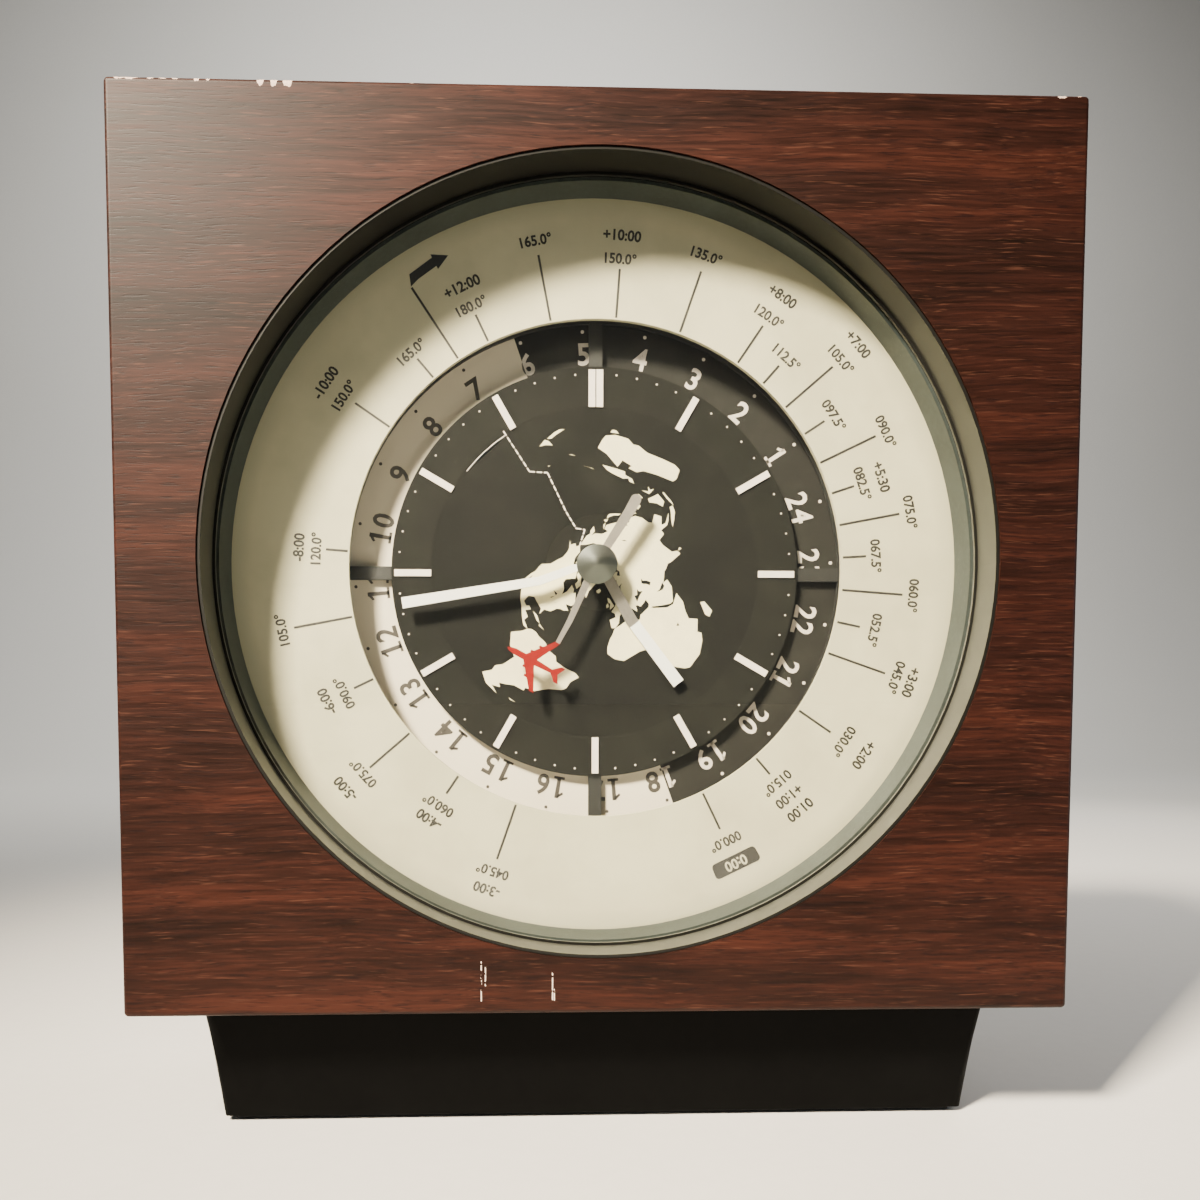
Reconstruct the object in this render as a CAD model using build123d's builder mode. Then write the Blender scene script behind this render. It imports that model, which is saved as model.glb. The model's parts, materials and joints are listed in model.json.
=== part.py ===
from build123d import *
from math import acos, asin, cos, degrees, pi, radians, sin, tan
import os

# A wooden desk clock with a world time dial, in millimetres.
# The case is built round the movement and its battery, and the dial fills the hole of the case.
# X points to the viewer's right, Z up, and the front of the clock faces -Y.
# The origin is the middle of the footprint, on the surface that the clock stands on.
# A depth is a distance behind the front face of the case.
# A place on the dial is (right, up) from the dial's centre, seen from the front.

# Wooden case, 160 wide, 152 high and 62 deep
case_edge_radius = 0.8
front_board = 12.0
side_wall = 9.0
top_wall = 8.0
side_room = 3.0
bay_floor_room = 9.1
bay_back_room = 1.1
plate_block = 17.0
cover_block = 9.0
cover_recess = 4.0

# Plinth
plinth_height = 22.0
plinth_front_setback = 8.0
plinth_side_setback = 10.5
plinth_front_taper = 2.5
plinth_side_taper = 3.0
plinth_corner_radius = 1.0
felt_thickness = 1.0
felt_inset = 1.5
plinth_screw_inset = 24.5
plinth_screw_radius = 1.9
plinth_screw_head_radius = 3.4
plinth_screw_head_length = 2.6
plinth_screw_seat = 8.0
plinth_screw_grip = 6.0

# Fits
snug = 0.02
running_fit = 0.05
wall_clearance = 0.3
overrun = 1.0

# Bezel, glass and flange ring
bezel_fit = 0.05
bezel_wall = 0.55
bezel_inset = 0.3
bezel_flange_width = 1.0
bezel_flange_thickness = 0.8
bezel_grip = 0.6
bead_depth = 7.4
bead_length = 0.6
bead_height = 0.5
glass_fit = 0.1
glass_thickness = 1.8
glass_rise = 2.4
flange_length = 4.2
flange_front_width = 0.6
flange_back_width = 1.6

# Dial
city_band = 22.1
hour_band = 7.0
city_thickness = 1.0
tray_thickness = 1.2
tray_wall = 1.2
well_margin = 2.1
well_length = 3.4
map_thickness = 0.4
bridge_thickness = 0.8
bridge_inset = 0.6
bridge_arm_width = 2.4
bridge_rim_width = 2.6
dial_bore_clearance = 0.4
ring_thickness = 1.0
ring_overlap = 1.7
ring_gap = 0.4
baton_length = 6.6
baton_width = 1.2
baton_thickness = 0.25
baton_inset = 0.55
twin_baton_gap = 0.2

# Hands, set to sixteen minutes before five
hour_hand_angle = 142.8
minute_hand_angle = 260.7
second_hand_angle = 208.7
hand_gap = 0.9
second_hand_gap = 0.7
hand_thickness = 0.5
second_hand_thickness = 0.4
hour_hand_tip_gap = 11.9
hour_hand_inner_width = 1.9
hour_hand_outer_width = 2.2
hour_hub_radius = 3.4
minute_hand_tip_gap = 1.7
minute_hand_inner_width = 1.35
minute_hand_outer_width = 1.95
minute_hub_radius = 3.2
second_hub_radius = 2.4
tail_length = 15.3
tail_inner_width = 1.4
tail_outer_width = 1.9
stem_length = 14.6
stem_inner_width = 1.5
stem_outer_width = 0.8
cap_radius = 3.65
cap_rim = 0.25
cap_height = 1.4

# Aeroplane on the second hand, flying clockwise with its wing tips on the line of the stem
wing_span = 9.9
wing_sweep = 2.9
wing_root_chord = 2.2
wing_tip_chord = 0.9
fuselage_width = 1.1
nose_length = 4.7
nose_taper = 1.65
tail_fin_span = 3.0
tail_fin_chord = 0.8
tail_boom_length = 5.6
tail_root_length = 1.3
engine_length = 0.9
engine_width = 0.42
engine_lead = 0.2
slim_share = 0.6
engine_place_shares = (0.30, 0.58)

# Gear teeth
pressure_angle = 30.0
addendum_share = 0.8
dedendum_share = 1.0
tooth_share = 0.46
gear_gap = 0.3

# Gears between the hour pipe and the day and night ring: half the hour hand's speed
dial_module = 0.8
hour_pinion_teeth = 14
lay_wheel_teeth = 21
lay_pinion_teeth = 15
ring_gear_teeth = 20
ring_gear_length = 2.0
ring_hub_radius = 4.0
hour_pinion_gap = 0.4
hour_pinion_length = 1.6
lay_wheel_inset = 0.2
lay_direction = 225.0
lay_arbor_radius = 0.9

# Mount plate
plate_gap = 0.6
plate_thickness = 1.2
plate_screw_radius = 1.5
plate_screw_head_radius = 2.6
plate_screw_head_length = 1.8
plate_screw_grip = 9.0

# Movement housing
train_room = 4.1
shell_corner_radius = 3.0
shell_wall = 1.5
shell_front_length = 10.0
shell_back_room = 1.5
neck_radius = 4.0
neck_length = 1.4
post_radius = 2.2
post_inset = 5.5
movement_screw_radius = 1.1
movement_screw_head_radius = 2.1
movement_screw_head_length = 1.3
movement_screw_tip_gap = 0.6

# Motion work: cannon pinion, minute wheel and hour wheel
motion_module = 0.5
cannon_teeth = 15
minute_wheel_teeth = 45
minute_pinion_teeth = 12
hour_wheel_teeth = 48
motion_wheel_thickness = 1.2
hour_wheel_gap = 0.4
hour_pipe_wall = 0.55
cannon_wall = 0.75
second_arbor_radius = 0.8
cannon_pinion_length = 1.5
minute_post_radius = 0.9
cannon_tail = 2.3

# Going train: rotor, idler, second wheel, third wheel and centre wheel
pinion_leaves = 6
third_wheel_teeth = 45
centre_wheel_teeth = 48
second_wheel_teeth = 30
idler_wheel_teeth = 36
train_module = 0.5
idler_module = 0.7
rotor_module = 0.4
train_wheel_thickness = 1.0
train_plate_gap = 0.5
train_plate_thickness = 1.2
centre_wheel_gap = 0.6
third_wheel_gap = 1.2
second_wheel_gap = 0.8
idler_wheel_gap = 0.8
train_arbor_radius = 0.5
pivot_reach = 0.8
rotor_radius = 3.0
rotor_length = 1.8
rotor_air_gap = 0.6
bridge_gap = 0.4
train_bridge_thickness = 1.0
pillar_radius = 1.5
pillar_place_shares = ((-0.32, -0.6), (0.49, 0.14), (-0.35, 0.56))
bridge_eye_radius = 2.5

# Motor and electronics
stator_thickness = 1.0
stator_half_width = 5.4
stator_top = 4.6
stator_shoulder = 5.0
stator_underside = 6.6
stator_foot_width = 3.0
coil_length = 18.0
coil_radius = 2.4
coil_gap = 0.5
coil_core_width = 2.6
coil_core_thickness = 0.8
coil_flange = 0.3
bobbin_end = 0.7
board_width = 14.0
board_height = 15.0
board_thickness = 1.0
board_gap = 1.0
board_side_gap = 1.3
board_bottom_gap = 2.6
board_post_inset = 2.6
board_post_radius = 1.2
crystal_radius = 1.0
crystal_length = 6.2
chip_size = 5.0
chip_thickness = 1.2
part_spacing_share = 0.22

# Battery, of the C size, and its bay
battery_radius = 13.1
battery_length = 48.5
button_radius = 3.6
button_length = 1.5
bay_clearance = 0.6
bay_front_gap = 0.2
contact_room = 3.0
contact_thickness = 0.4
contact_width = 10.0
contact_foot = 2.4
contact_half_height = 8.5
contact_half_crown = 3.0

# Setting shaft and knob
set_pinion_teeth = 10
set_direction = 45.0
set_shaft_radius = 1.2
set_shaft_clearance = 0.1
knob_radius = 8.5
knob_length = 5.8
knob_flutes = 18
knob_flute_radius = 0.7
knob_floor_gap = 0.8
pocket_clearance = 3.5
pocket_depth = 4.0

# Back cover and battery door
cover_thickness = 2.0
cover_corner_radius = 1.0
cover_screw_radius = 1.5
cover_screw_head_radius = 2.7
cover_screw_head_length = 1.6
cover_screw_grip = 8.0
door_overlap = 2.0
door_thickness = 1.6
door_clearance = 0.1
door_travel = 32.0
rail_web = 1.6
rail_lip = 1.4
rail_thickness = 1.0
rail_clearance = 0.3
grip_ribs = 5
grip_rib_width = 22.0
grip_rib_height = 0.9
grip_rib_gap = 1.5
grip_rib_rise = 0.5

# Depths worked out from the sizes above, from the bezel's bead to the back cover
glass_depth = bead_depth + bead_length
flange_depth = glass_depth + glass_thickness
city_depth = flange_depth + flange_length
tray_depth = city_depth + city_thickness
bezel_end = tray_depth + bezel_grip
bridge_depth = tray_depth + well_length
map_depth = bridge_depth - map_thickness
ring_depth = bridge_depth + bridge_thickness + ring_gap
ring_gear_depth = ring_depth + ring_thickness
hour_pinion_depth = ring_gear_depth + ring_gear_length + hour_pinion_gap
hour_pinion_end = hour_pinion_depth + hour_pinion_length
plate_depth = hour_pinion_end + plate_gap
shell_depth = plate_depth + plate_thickness
shell_split = shell_depth + shell_front_length

hour_hand_depth = map_depth - hand_gap - hand_thickness
minute_hand_depth = hour_hand_depth - hand_gap - hand_thickness
second_hand_depth = minute_hand_depth - second_hand_gap - second_hand_thickness

hour_wheel_depth = shell_depth + shell_wall + hour_wheel_gap
minute_wheel_depth = hour_wheel_depth + motion_wheel_thickness + hour_wheel_gap
cannon_depth = hour_wheel_depth + motion_wheel_thickness + gear_gap
cannon_end = cannon_depth + cannon_pinion_length
train_plate_depth = cannon_end + train_plate_gap
train_plate_end = train_plate_depth + train_plate_thickness
centre_wheel_depth = train_plate_end + centre_wheel_gap
cannon_tail_end = train_plate_end + cannon_tail
third_wheel_depth = centre_wheel_depth + train_wheel_thickness + third_wheel_gap
second_wheel_depth = third_wheel_depth + train_wheel_thickness + second_wheel_gap
idler_wheel_depth = second_wheel_depth + train_wheel_thickness + idler_wheel_gap
rotor_depth = idler_wheel_depth + train_wheel_thickness + bridge_gap
stator_depth = rotor_depth + (rotor_length - stator_thickness) / 2
coil_depth = stator_depth + stator_thickness + coil_core_thickness / 2
train_bridge_depth = rotor_depth + rotor_length + bridge_gap
train_bridge_end = train_bridge_depth + train_bridge_thickness
pivot_start = train_plate_end - pivot_reach
pivot_end = train_bridge_depth + pivot_reach
shell_inner_end = train_bridge_end + shell_back_room
shell_end = shell_inner_end + shell_wall
board_depth = shell_inner_end - board_gap - board_thickness

bay_depth = shell_depth + bay_front_gap
battery_depth = bay_depth + shell_wall + bay_clearance + battery_radius
cover_depth = battery_depth + battery_radius + bay_back_room
cover_end = cover_depth + cover_thickness
knob_floor = cover_end - pocket_depth
knob_depth = knob_floor + knob_floor_gap
door_depth = cover_end + door_clearance
case_depth = cover_end + cover_recess
front_y = -case_depth / 2


# Axes of the gears, as places on the dial
def centre_distance(module, teeth, other_teeth):
    return module * (teeth + other_teeth) / 2


def polar(length, direction):
    return (length * cos(radians(direction)), length * sin(radians(direction)))


lay_axis = polar(centre_distance(dial_module, hour_pinion_teeth, lay_wheel_teeth), lay_direction)
minute_axis = (0, centre_distance(motion_module, cannon_teeth, minute_wheel_teeth))
set_offset = polar(centre_distance(motion_module, minute_wheel_teeth, set_pinion_teeth), set_direction)
set_axis = (minute_axis[0] + set_offset[0], minute_axis[1] + set_offset[1])
third_centres = centre_distance(train_module, pinion_leaves, third_wheel_teeth)
third_axis = (-third_centres, 0)
centre_module = 2 * third_centres / (pinion_leaves + centre_wheel_teeth)
idler_axis = (0, -centre_distance(idler_module, pinion_leaves, second_wheel_teeth))
rotor_axis = (centre_distance(rotor_module, pinion_leaves, idler_wheel_teeth), idler_axis[1])

# Widths and heights worked out from the movement outwards
cannon_bore = second_arbor_radius + running_fit
cannon_radius = cannon_bore + cannon_wall
hour_pipe_bore = cannon_radius + running_fit
hour_pipe_radius = hour_pipe_bore + hour_pipe_wall

third_wheel_radius = train_module * (third_wheel_teeth / 2 + addendum_share)
shell_inside = third_centres + third_wheel_radius + train_room
shell_half = shell_inside + shell_wall
shell_size = 2 * shell_half
post_place = shell_half - post_inset
pillar_places = [(shell_inside * right, shell_inside * up) for right, up in pillar_place_shares]
coil_drop = stator_underside + coil_gap + coil_radius + coil_flange
coil_height = rotor_axis[1] - coil_drop
stator_reach = coil_length / 2 + wall_clearance + stator_foot_width
stator_foot_end = coil_drop + coil_core_width / 2
board_middle = (
    -shell_inside + board_side_gap + board_width / 2,
    -shell_inside + board_bottom_gap + board_height / 2,
)

battery_half = (battery_length + button_length) / 2
bay_half_width = battery_half + contact_room
bay_half_height = battery_radius + bay_clearance
bay_height = -shell_half - bay_half_height
door_half_width = bay_half_width + door_overlap
door_half_height = bay_half_height + door_overlap

cavity_half_height = bay_half_height - bay_height + shell_wall + bay_floor_room
cavity_half_width = cavity_half_height + side_room
case_width = 2 * (cavity_half_width + side_wall)
case_height = 2 * (cavity_half_height + top_wall)
dial_height = plinth_height + case_height / 2
plinth_top_width = case_width - 2 * plinth_side_setback
plinth_foot_width = plinth_top_width - 2 * plinth_side_taper
plinth_screw_place = plinth_top_width / 2 - plinth_screw_inset
plinth_top_depth = case_depth - 2 * plinth_front_setback
plinth_foot_depth = plinth_top_depth - 2 * plinth_front_taper

hole_radius = cavity_half_height - bezel_flange_width - wall_clearance
bezel_outer_radius = hole_radius - bezel_fit
bezel_radius = bezel_outer_radius - bezel_wall
bead_radius = bezel_radius - bead_height
glass_radius = bezel_radius - glass_fit
window_radius = glass_radius - city_band
map_radius = window_radius - hour_band
well_radius = window_radius + well_margin
ring_radius = window_radius + ring_overlap
hour_hand_length = map_radius - hour_hand_tip_gap
minute_hand_length = map_radius - minute_hand_tip_gap

plate_screw_inset = cover_block + wall_clearance + plate_screw_head_radius + wall_clearance
plate_screw_place = (cavity_half_width - plate_screw_inset, cavity_half_height - plate_screw_inset)
cover_screw_place = (cavity_half_width - cover_block / 2, cavity_half_height - cover_block / 2)
quarters = ((1, 1), (1, -1), (-1, 1), (-1, -1))
half_turn = 180.0


# Workplanes: one parallel to the dial at a depth, one across the battery, and one for turned profiles
def dial_plane(depth, place=(0, 0)):
    origin = (place[0], front_y + depth, dial_height + place[1])
    return Plane(origin=origin, x_dir=(1, 0, 0), z_dir=(0, -1, 0))


def side_plane(right, place):
    origin = (right, front_y + place[0], dial_height + place[1])
    return Plane(origin=origin, x_dir=(0, 1, 0), z_dir=(1, 0, 0))


def turning_plane(place=(0, 0)):
    return Plane(origin=(place[0], front_y, dial_height + place[1]), x_dir=(1, 0, 0), z_dir=(0, 0, 1))


def turning_axis(place=(0, 0)):
    return Axis((place[0], front_y, dial_height + place[1]), (0, 1, 0))


# Adds to the open part a round bar between two depths
def bar(radius, start, end, place=(0, 0), mode=Mode.ADD):
    with BuildSketch(dial_plane(end, place)) as section:
        Circle(radius)
    extrude(section.sketch, amount=end - start, mode=mode)


# Adds to the open part a rounded block between two depths
def block(width, height, corner, start, end, place=(0, 0), mode=Mode.ADD):
    with BuildSketch(dial_plane(end, place)) as section:
        RectangleRounded(width, height, corner)
    extrude(section.sketch, amount=end - start, mode=mode)


# Adds to the open part a ring turned from points of (radius, depth)
def turned(points, place=(0, 0), mode=Mode.ADD):
    with BuildSketch(turning_plane(place)) as section:
        with BuildLine():
            Polyline(*points, close=True)
        make_face()
    revolve(section.sketch, axis=turning_axis(place), mode=mode)


def finish(piece, name):
    piece.part.label = name
    export_step(piece.part, f"parts/{name}.step")


# Gear teeth: involute flanks on a base circle, cut off at the tip and the root
def involute(angle):
    return tan(angle) - angle


def tooth_half_angle(radius, teeth, pitch_radius):
    base_radius = pitch_radius * cos(radians(pressure_angle))
    slope = acos(min(1, base_radius / radius))
    return pi * tooth_share / teeth + involute(radians(pressure_angle)) - involute(slope)


def tooth_points(teeth, module, phase, steps):
    pitch_radius = module * teeth / 2
    root = pitch_radius - module * dedendum_share
    tip = pitch_radius + module * addendum_share
    radii = [root + (tip - root) * step / steps for step in range(steps + 1)]
    points = []
    for tooth in range(teeth):
        middle = radians(phase) + 2 * pi * tooth / teeth
        flank = [(radius, tooth_half_angle(radius, teeth, pitch_radius)) for radius in radii]
        sides = [(radius, middle - half) for radius, half in flank]
        sides += [(radius, middle + half) for radius, half in reversed(flank)]
        points += [(radius * cos(angle), radius * sin(angle)) for radius, angle in sides]
    return points


# Adds to the open part a toothed wheel; the phase is the direction of one tooth, in degrees
def gear(teeth, module, phase, start, end, place=(0, 0), steps=1):
    with BuildSketch(dial_plane(end, place)) as section:
        with BuildLine():
            Polyline(*tooth_points(teeth, module, phase, steps), close=True)
        make_face()
    extrude(section.sketch, amount=end - start)


# The phase that puts a gap of one gear round a tooth of its neighbour
def meshed(neighbour_teeth, neighbour_phase, teeth, direction):
    share = (direction - neighbour_phase) * neighbour_teeth / (2 * half_turn) % 1
    return direction + half_turn - (1 / 2 - share) * 2 * half_turn / teeth


minute_wheel_phase = meshed(cannon_teeth, 0, minute_wheel_teeth, 90)
hour_wheel_phase = meshed(minute_pinion_teeth, 0, hour_wheel_teeth, 270)
set_pinion_phase = meshed(minute_wheel_teeth, minute_wheel_phase, set_pinion_teeth, set_direction)
lay_wheel_phase = meshed(hour_pinion_teeth, 0, lay_wheel_teeth, lay_direction)
ring_gear_phase = meshed(lay_pinion_teeth, 0, ring_gear_teeth, lay_direction + half_turn)
third_wheel_phase = meshed(pinion_leaves, 0, third_wheel_teeth, 180)
centre_wheel_phase = meshed(pinion_leaves, 0, centre_wheel_teeth, 0)
idler_pinion_phase = meshed(second_wheel_teeth, 0, pinion_leaves, 270)
rotor_pinion_phase = meshed(idler_wheel_teeth, 0, pinion_leaves, 0)


# Wooden case: five boards glued up, open at the back, with blocks in the corners
def make_wood_case():
    with BuildPart() as wood_case:
        with BuildSketch(dial_plane(case_depth)):
            Rectangle(case_width, case_height)
        extrude(amount=case_depth)
        fillet(wood_case.edges(), radius=case_edge_radius)
        with BuildSketch(dial_plane(case_depth)):
            Rectangle(cavity_half_width * 2, cavity_half_height * 2)
        extrude(amount=case_depth - front_board, mode=Mode.SUBTRACT)
        bar(hole_radius, -overrun, front_board + overrun, mode=Mode.SUBTRACT)
        for size, start, end in (
            (plate_block, front_board, plate_depth),
            (cover_block, plate_depth, cover_depth),
        ):
            with BuildSketch(dial_plane(end)):
                for right, up in quarters:
                    corner = (cavity_half_width - size / 2, cavity_half_height - size / 2)
                    with Locations((right * corner[0], up * corner[1])):
                        Rectangle(size, size)
            extrude(amount=end - start)
        for right, up in quarters:
            place = (right * plate_screw_place[0], up * plate_screw_place[1])
            hole = plate_screw_radius + snug
            bar(hole, plate_depth - plate_screw_grip, plate_depth, place, Mode.SUBTRACT)
            place = (right * cover_screw_place[0], up * cover_screw_place[1])
            hole = cover_screw_radius + snug
            bar(hole, cover_depth - cover_screw_grip, cover_depth, place, Mode.SUBTRACT)
        with BuildSketch(Plane.XY.offset(plinth_height)):
            with GridLocations(2 * plinth_screw_place, 0, 2, 1):
                Circle(plinth_screw_radius + snug)
        extrude(amount=plinth_screw_grip, mode=Mode.SUBTRACT)
    finish(wood_case, "wood_case")


# Plinth: a black block that narrows towards its foot, screwed up into the case
def make_plinth():
    with BuildPart() as plinth:
        with BuildSketch(Plane.XY.offset(felt_thickness)):
            RectangleRounded(plinth_foot_width, plinth_foot_depth, plinth_corner_radius)
        with BuildSketch(Plane.XY.offset(plinth_height)):
            RectangleRounded(plinth_top_width, plinth_top_depth, plinth_corner_radius)
        loft(ruled=True)
        with BuildSketch(Plane.XY):
            with GridLocations(2 * plinth_screw_place, 0, 2, 1):
                Circle(plinth_screw_radius + snug)
        extrude(amount=plinth_height + overrun, mode=Mode.SUBTRACT)
        with BuildSketch(Plane.XY):
            with GridLocations(2 * plinth_screw_place, 0, 2, 1):
                Circle(plinth_screw_head_radius + wall_clearance)
        extrude(amount=plinth_screw_seat, mode=Mode.SUBTRACT)
    finish(plinth, "plinth")


def make_plinth_screws():
    with BuildPart() as plinth_screws:
        with BuildSketch(Plane.XY.offset(plinth_screw_seat - plinth_screw_head_length)):
            with GridLocations(2 * plinth_screw_place, 0, 2, 1):
                Circle(plinth_screw_head_radius)
        extrude(amount=plinth_screw_head_length)
        with BuildSketch(Plane.XY.offset(plinth_screw_seat)):
            with GridLocations(2 * plinth_screw_place, 0, 2, 1):
                Circle(plinth_screw_radius)
        extrude(amount=plinth_height - plinth_screw_seat + plinth_screw_grip - wall_clearance)
    finish(plinth_screws, "plinth_screws")


def make_felt_pad():
    with BuildPart() as felt_pad:
        with BuildSketch(Plane.XY):
            RectangleRounded(
                plinth_foot_width - 2 * felt_inset,
                plinth_foot_depth - 2 * felt_inset,
                plinth_corner_radius,
            )
        extrude(amount=felt_thickness)
    finish(felt_pad, "felt_pad")


# Bezel: a spun metal lining of the hole, with a bead in front of the glass and a flange behind the board
def make_bezel():
    flange_radius = hole_radius + bezel_flange_width
    flange_end = front_board + bezel_flange_thickness
    with BuildPart() as bezel:
        turned(
            (
                (bezel_radius, bezel_inset),
                (bezel_outer_radius, bezel_inset),
                (bezel_outer_radius, front_board),
                (flange_radius, front_board),
                (flange_radius, flange_end),
                (bezel_outer_radius, flange_end),
                (bezel_outer_radius, bezel_end),
                (bezel_radius, bezel_end),
                (bezel_radius, glass_depth),
                (bead_radius, glass_depth),
                (bead_radius, bead_depth),
                (bezel_radius, bead_depth),
            )
        )
    finish(bezel, "bezel")


# Glass: a shallow watch-glass dome, flat where its rim is held
def make_glass():
    rim = bead_radius - wall_clearance
    dome_radius = (rim**2 + glass_rise**2) / (2 * glass_rise)
    dome_half_angle = degrees(asin(rim / dome_radius))
    front_centre = (0, glass_depth - glass_rise + dome_radius)
    back_centre = (0, flange_depth - glass_rise + dome_radius)
    with BuildPart() as glass:
        with BuildSketch(turning_plane()) as section:
            with BuildLine():
                front = CenterArc(front_centre, dome_radius, -half_turn / 2, dome_half_angle)
                back = CenterArc(back_centre, dome_radius, -half_turn / 2, dome_half_angle)
                Line(front @ 0, back @ 0)
                Polyline(front @ 1, (glass_radius, glass_depth), (glass_radius, flange_depth), back @ 1)
            make_face()
        revolve(section.sketch, axis=turning_axis())
    finish(glass, "glass")


# Flange ring: a dark sloping ring between the glass and the city ring
def make_flange_ring():
    with BuildPart() as flange_ring:
        turned(
            (
                (glass_radius - flange_front_width, flange_depth),
                (glass_radius, flange_depth),
                (glass_radius, city_depth),
                (glass_radius - flange_back_width, city_depth),
            )
        )
    finish(flange_ring, "flange_ring")


def make_city_ring():
    with BuildPart() as city_ring:
        turned(
            (
                (window_radius, city_depth),
                (glass_radius, city_depth),
                (glass_radius, tray_depth),
                (window_radius, tray_depth),
            )
        )
    finish(city_ring, "city_ring")


# Dial tray: a black pressed dish that holds the city ring up and the bridge down in its well
def make_dial_tray():
    tray_end = tray_depth + tray_thickness
    with BuildPart() as dial_tray:
        turned(
            (
                (well_radius, tray_depth),
                (glass_radius, tray_depth),
                (glass_radius, plate_depth),
                (glass_radius - tray_wall, plate_depth),
                (glass_radius - tray_wall, tray_end),
                (well_radius + tray_wall, tray_end),
                (well_radius + tray_wall, bridge_depth),
                (well_radius, bridge_depth),
            )
        )
    finish(dial_tray, "dial_tray")


# Dial bridge: a thin spider whose arms cross the day and night ring and hold the map still
def make_dial_bridge():
    rim_radius = well_radius + tray_wall
    hub_radius = map_radius - bridge_inset
    with BuildPart() as dial_bridge:
        with BuildSketch(dial_plane(bridge_depth + bridge_thickness)):
            Circle(rim_radius)
            Circle(rim_radius - bridge_rim_width, mode=Mode.SUBTRACT)
            Rectangle(2 * (rim_radius - bridge_rim_width / 2), bridge_arm_width)
            Rectangle(bridge_arm_width, 2 * (rim_radius - bridge_rim_width / 2))
            Circle(hub_radius)
            Circle(hour_pipe_radius + dial_bore_clearance, mode=Mode.SUBTRACT)
        extrude(amount=bridge_thickness)
    finish(dial_bridge, "dial_bridge")


def make_map_dial():
    with BuildPart() as map_dial:
        with BuildSketch(dial_plane(bridge_depth)):
            Circle(map_radius)
            Circle(hour_pipe_radius + dial_bore_clearance, mode=Mode.SUBTRACT)
        extrude(amount=map_thickness)
    finish(map_dial, "map_dial")


# Hour batons: applied bars, a pair of them at twelve
def make_hour_batons():
    middle = map_radius - baton_inset - baton_length / 2
    twin_offset = (baton_width + twin_baton_gap) / 2
    with BuildPart() as hour_batons:
        with BuildSketch(dial_plane(map_depth)):
            for hour in range(1, 12):
                with Locations(Location(polar(middle, 90 - 30 * hour), 90 - 30 * hour)):
                    Rectangle(baton_length, baton_width)
            with Locations((-twin_offset, middle), (twin_offset, middle)):
                Rectangle(baton_width, baton_length)
        extrude(amount=baton_thickness)
    finish(hour_batons, "hour_batons")


def make_day_night_ring():
    with BuildPart() as day_night_ring:
        with BuildSketch(dial_plane(ring_gear_depth)):
            Circle(ring_radius)
            Circle(ring_hub_radius + snug, mode=Mode.SUBTRACT)
        extrude(amount=ring_thickness)
    finish(day_night_ring, "day_night_ring")


# Ring gear: carries the day and night ring and runs free on the hour pipe
def make_ring_gear():
    gear_end = ring_gear_depth + ring_gear_length
    with BuildPart() as ring_gear:
        gear(ring_gear_teeth, dial_module, ring_gear_phase, ring_gear_depth, gear_end)
        bar(ring_hub_radius, ring_depth, ring_gear_depth)
        bar(hour_pipe_radius + running_fit, ring_depth, gear_end, mode=Mode.SUBTRACT)
    finish(ring_gear, "ring_gear")


def make_lay_gear():
    wheel_start = hour_pinion_depth + lay_wheel_inset
    wheel_end = hour_pinion_end - lay_wheel_inset
    with BuildPart() as lay_gear:
        gear(lay_pinion_teeth, dial_module, 0, ring_gear_depth + gear_gap, wheel_start, lay_axis)
        gear(lay_wheel_teeth, dial_module, lay_wheel_phase, wheel_start, wheel_end, lay_axis)
        bar(lay_arbor_radius + running_fit, ring_gear_depth, wheel_end, lay_axis, Mode.SUBTRACT)
    finish(lay_gear, "lay_gear")


def make_lay_arbor():
    with BuildPart() as lay_arbor:
        bar(lay_arbor_radius, ring_gear_depth + gear_gap, shell_depth, lay_axis)
    finish(lay_arbor, "lay_arbor")


def make_hour_pinion():
    with BuildPart() as hour_pinion:
        gear(hour_pinion_teeth, dial_module, 0, hour_pinion_depth, hour_pinion_end)
        bar(hour_pipe_radius + snug, hour_pinion_depth, hour_pinion_end, mode=Mode.SUBTRACT)
    finish(hour_pinion, "hour_pinion")


# Mount plate: a pressed steel plate screwed to the front blocks, with notched corners
def make_mount_plate():
    width = 2 * (cavity_half_width - wall_clearance)
    height = 2 * (cavity_half_height - wall_clearance)
    notch = cover_block + wall_clearance
    notch_place = (cavity_half_width - notch / 2, cavity_half_height - notch / 2)
    with BuildPart() as mount_plate:
        with BuildSketch(dial_plane(shell_depth)):
            Rectangle(width, height)
            for right, up in quarters:
                with Locations((right * notch_place[0], up * notch_place[1])):
                    Rectangle(notch, notch, mode=Mode.SUBTRACT)
                with Locations((right * plate_screw_place[0], up * plate_screw_place[1])):
                    Circle(plate_screw_radius + snug, mode=Mode.SUBTRACT)
                with Locations((right * post_place, up * post_place)):
                    Circle(movement_screw_radius + snug, mode=Mode.SUBTRACT)
            Circle(neck_radius + running_fit, mode=Mode.SUBTRACT)
            with Locations(lay_axis):
                Circle(lay_arbor_radius + snug, mode=Mode.SUBTRACT)
        extrude(amount=plate_thickness)
    finish(mount_plate, "mount_plate")


# A screw with a pan head, its shank towards the front (or the back for a negative grip)
def screw(radius, head_radius, head_length, grip, seat, place):
    head = (seat, seat + head_length) if grip > 0 else (seat - head_length, seat)
    shank = (seat - grip, seat) if grip > 0 else (seat, seat - grip)
    bar(head_radius, *head, place)
    bar(radius, *shank, place)


def make_plate_screws():
    with BuildPart() as plate_screws:
        for right, up in quarters:
            screw(
                plate_screw_radius,
                plate_screw_head_radius,
                plate_screw_head_length,
                plate_screw_grip + plate_thickness - wall_clearance,
                shell_depth,
                (right * plate_screw_place[0], up * plate_screw_place[1]),
            )
    finish(plate_screws, "plate_screws")


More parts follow.
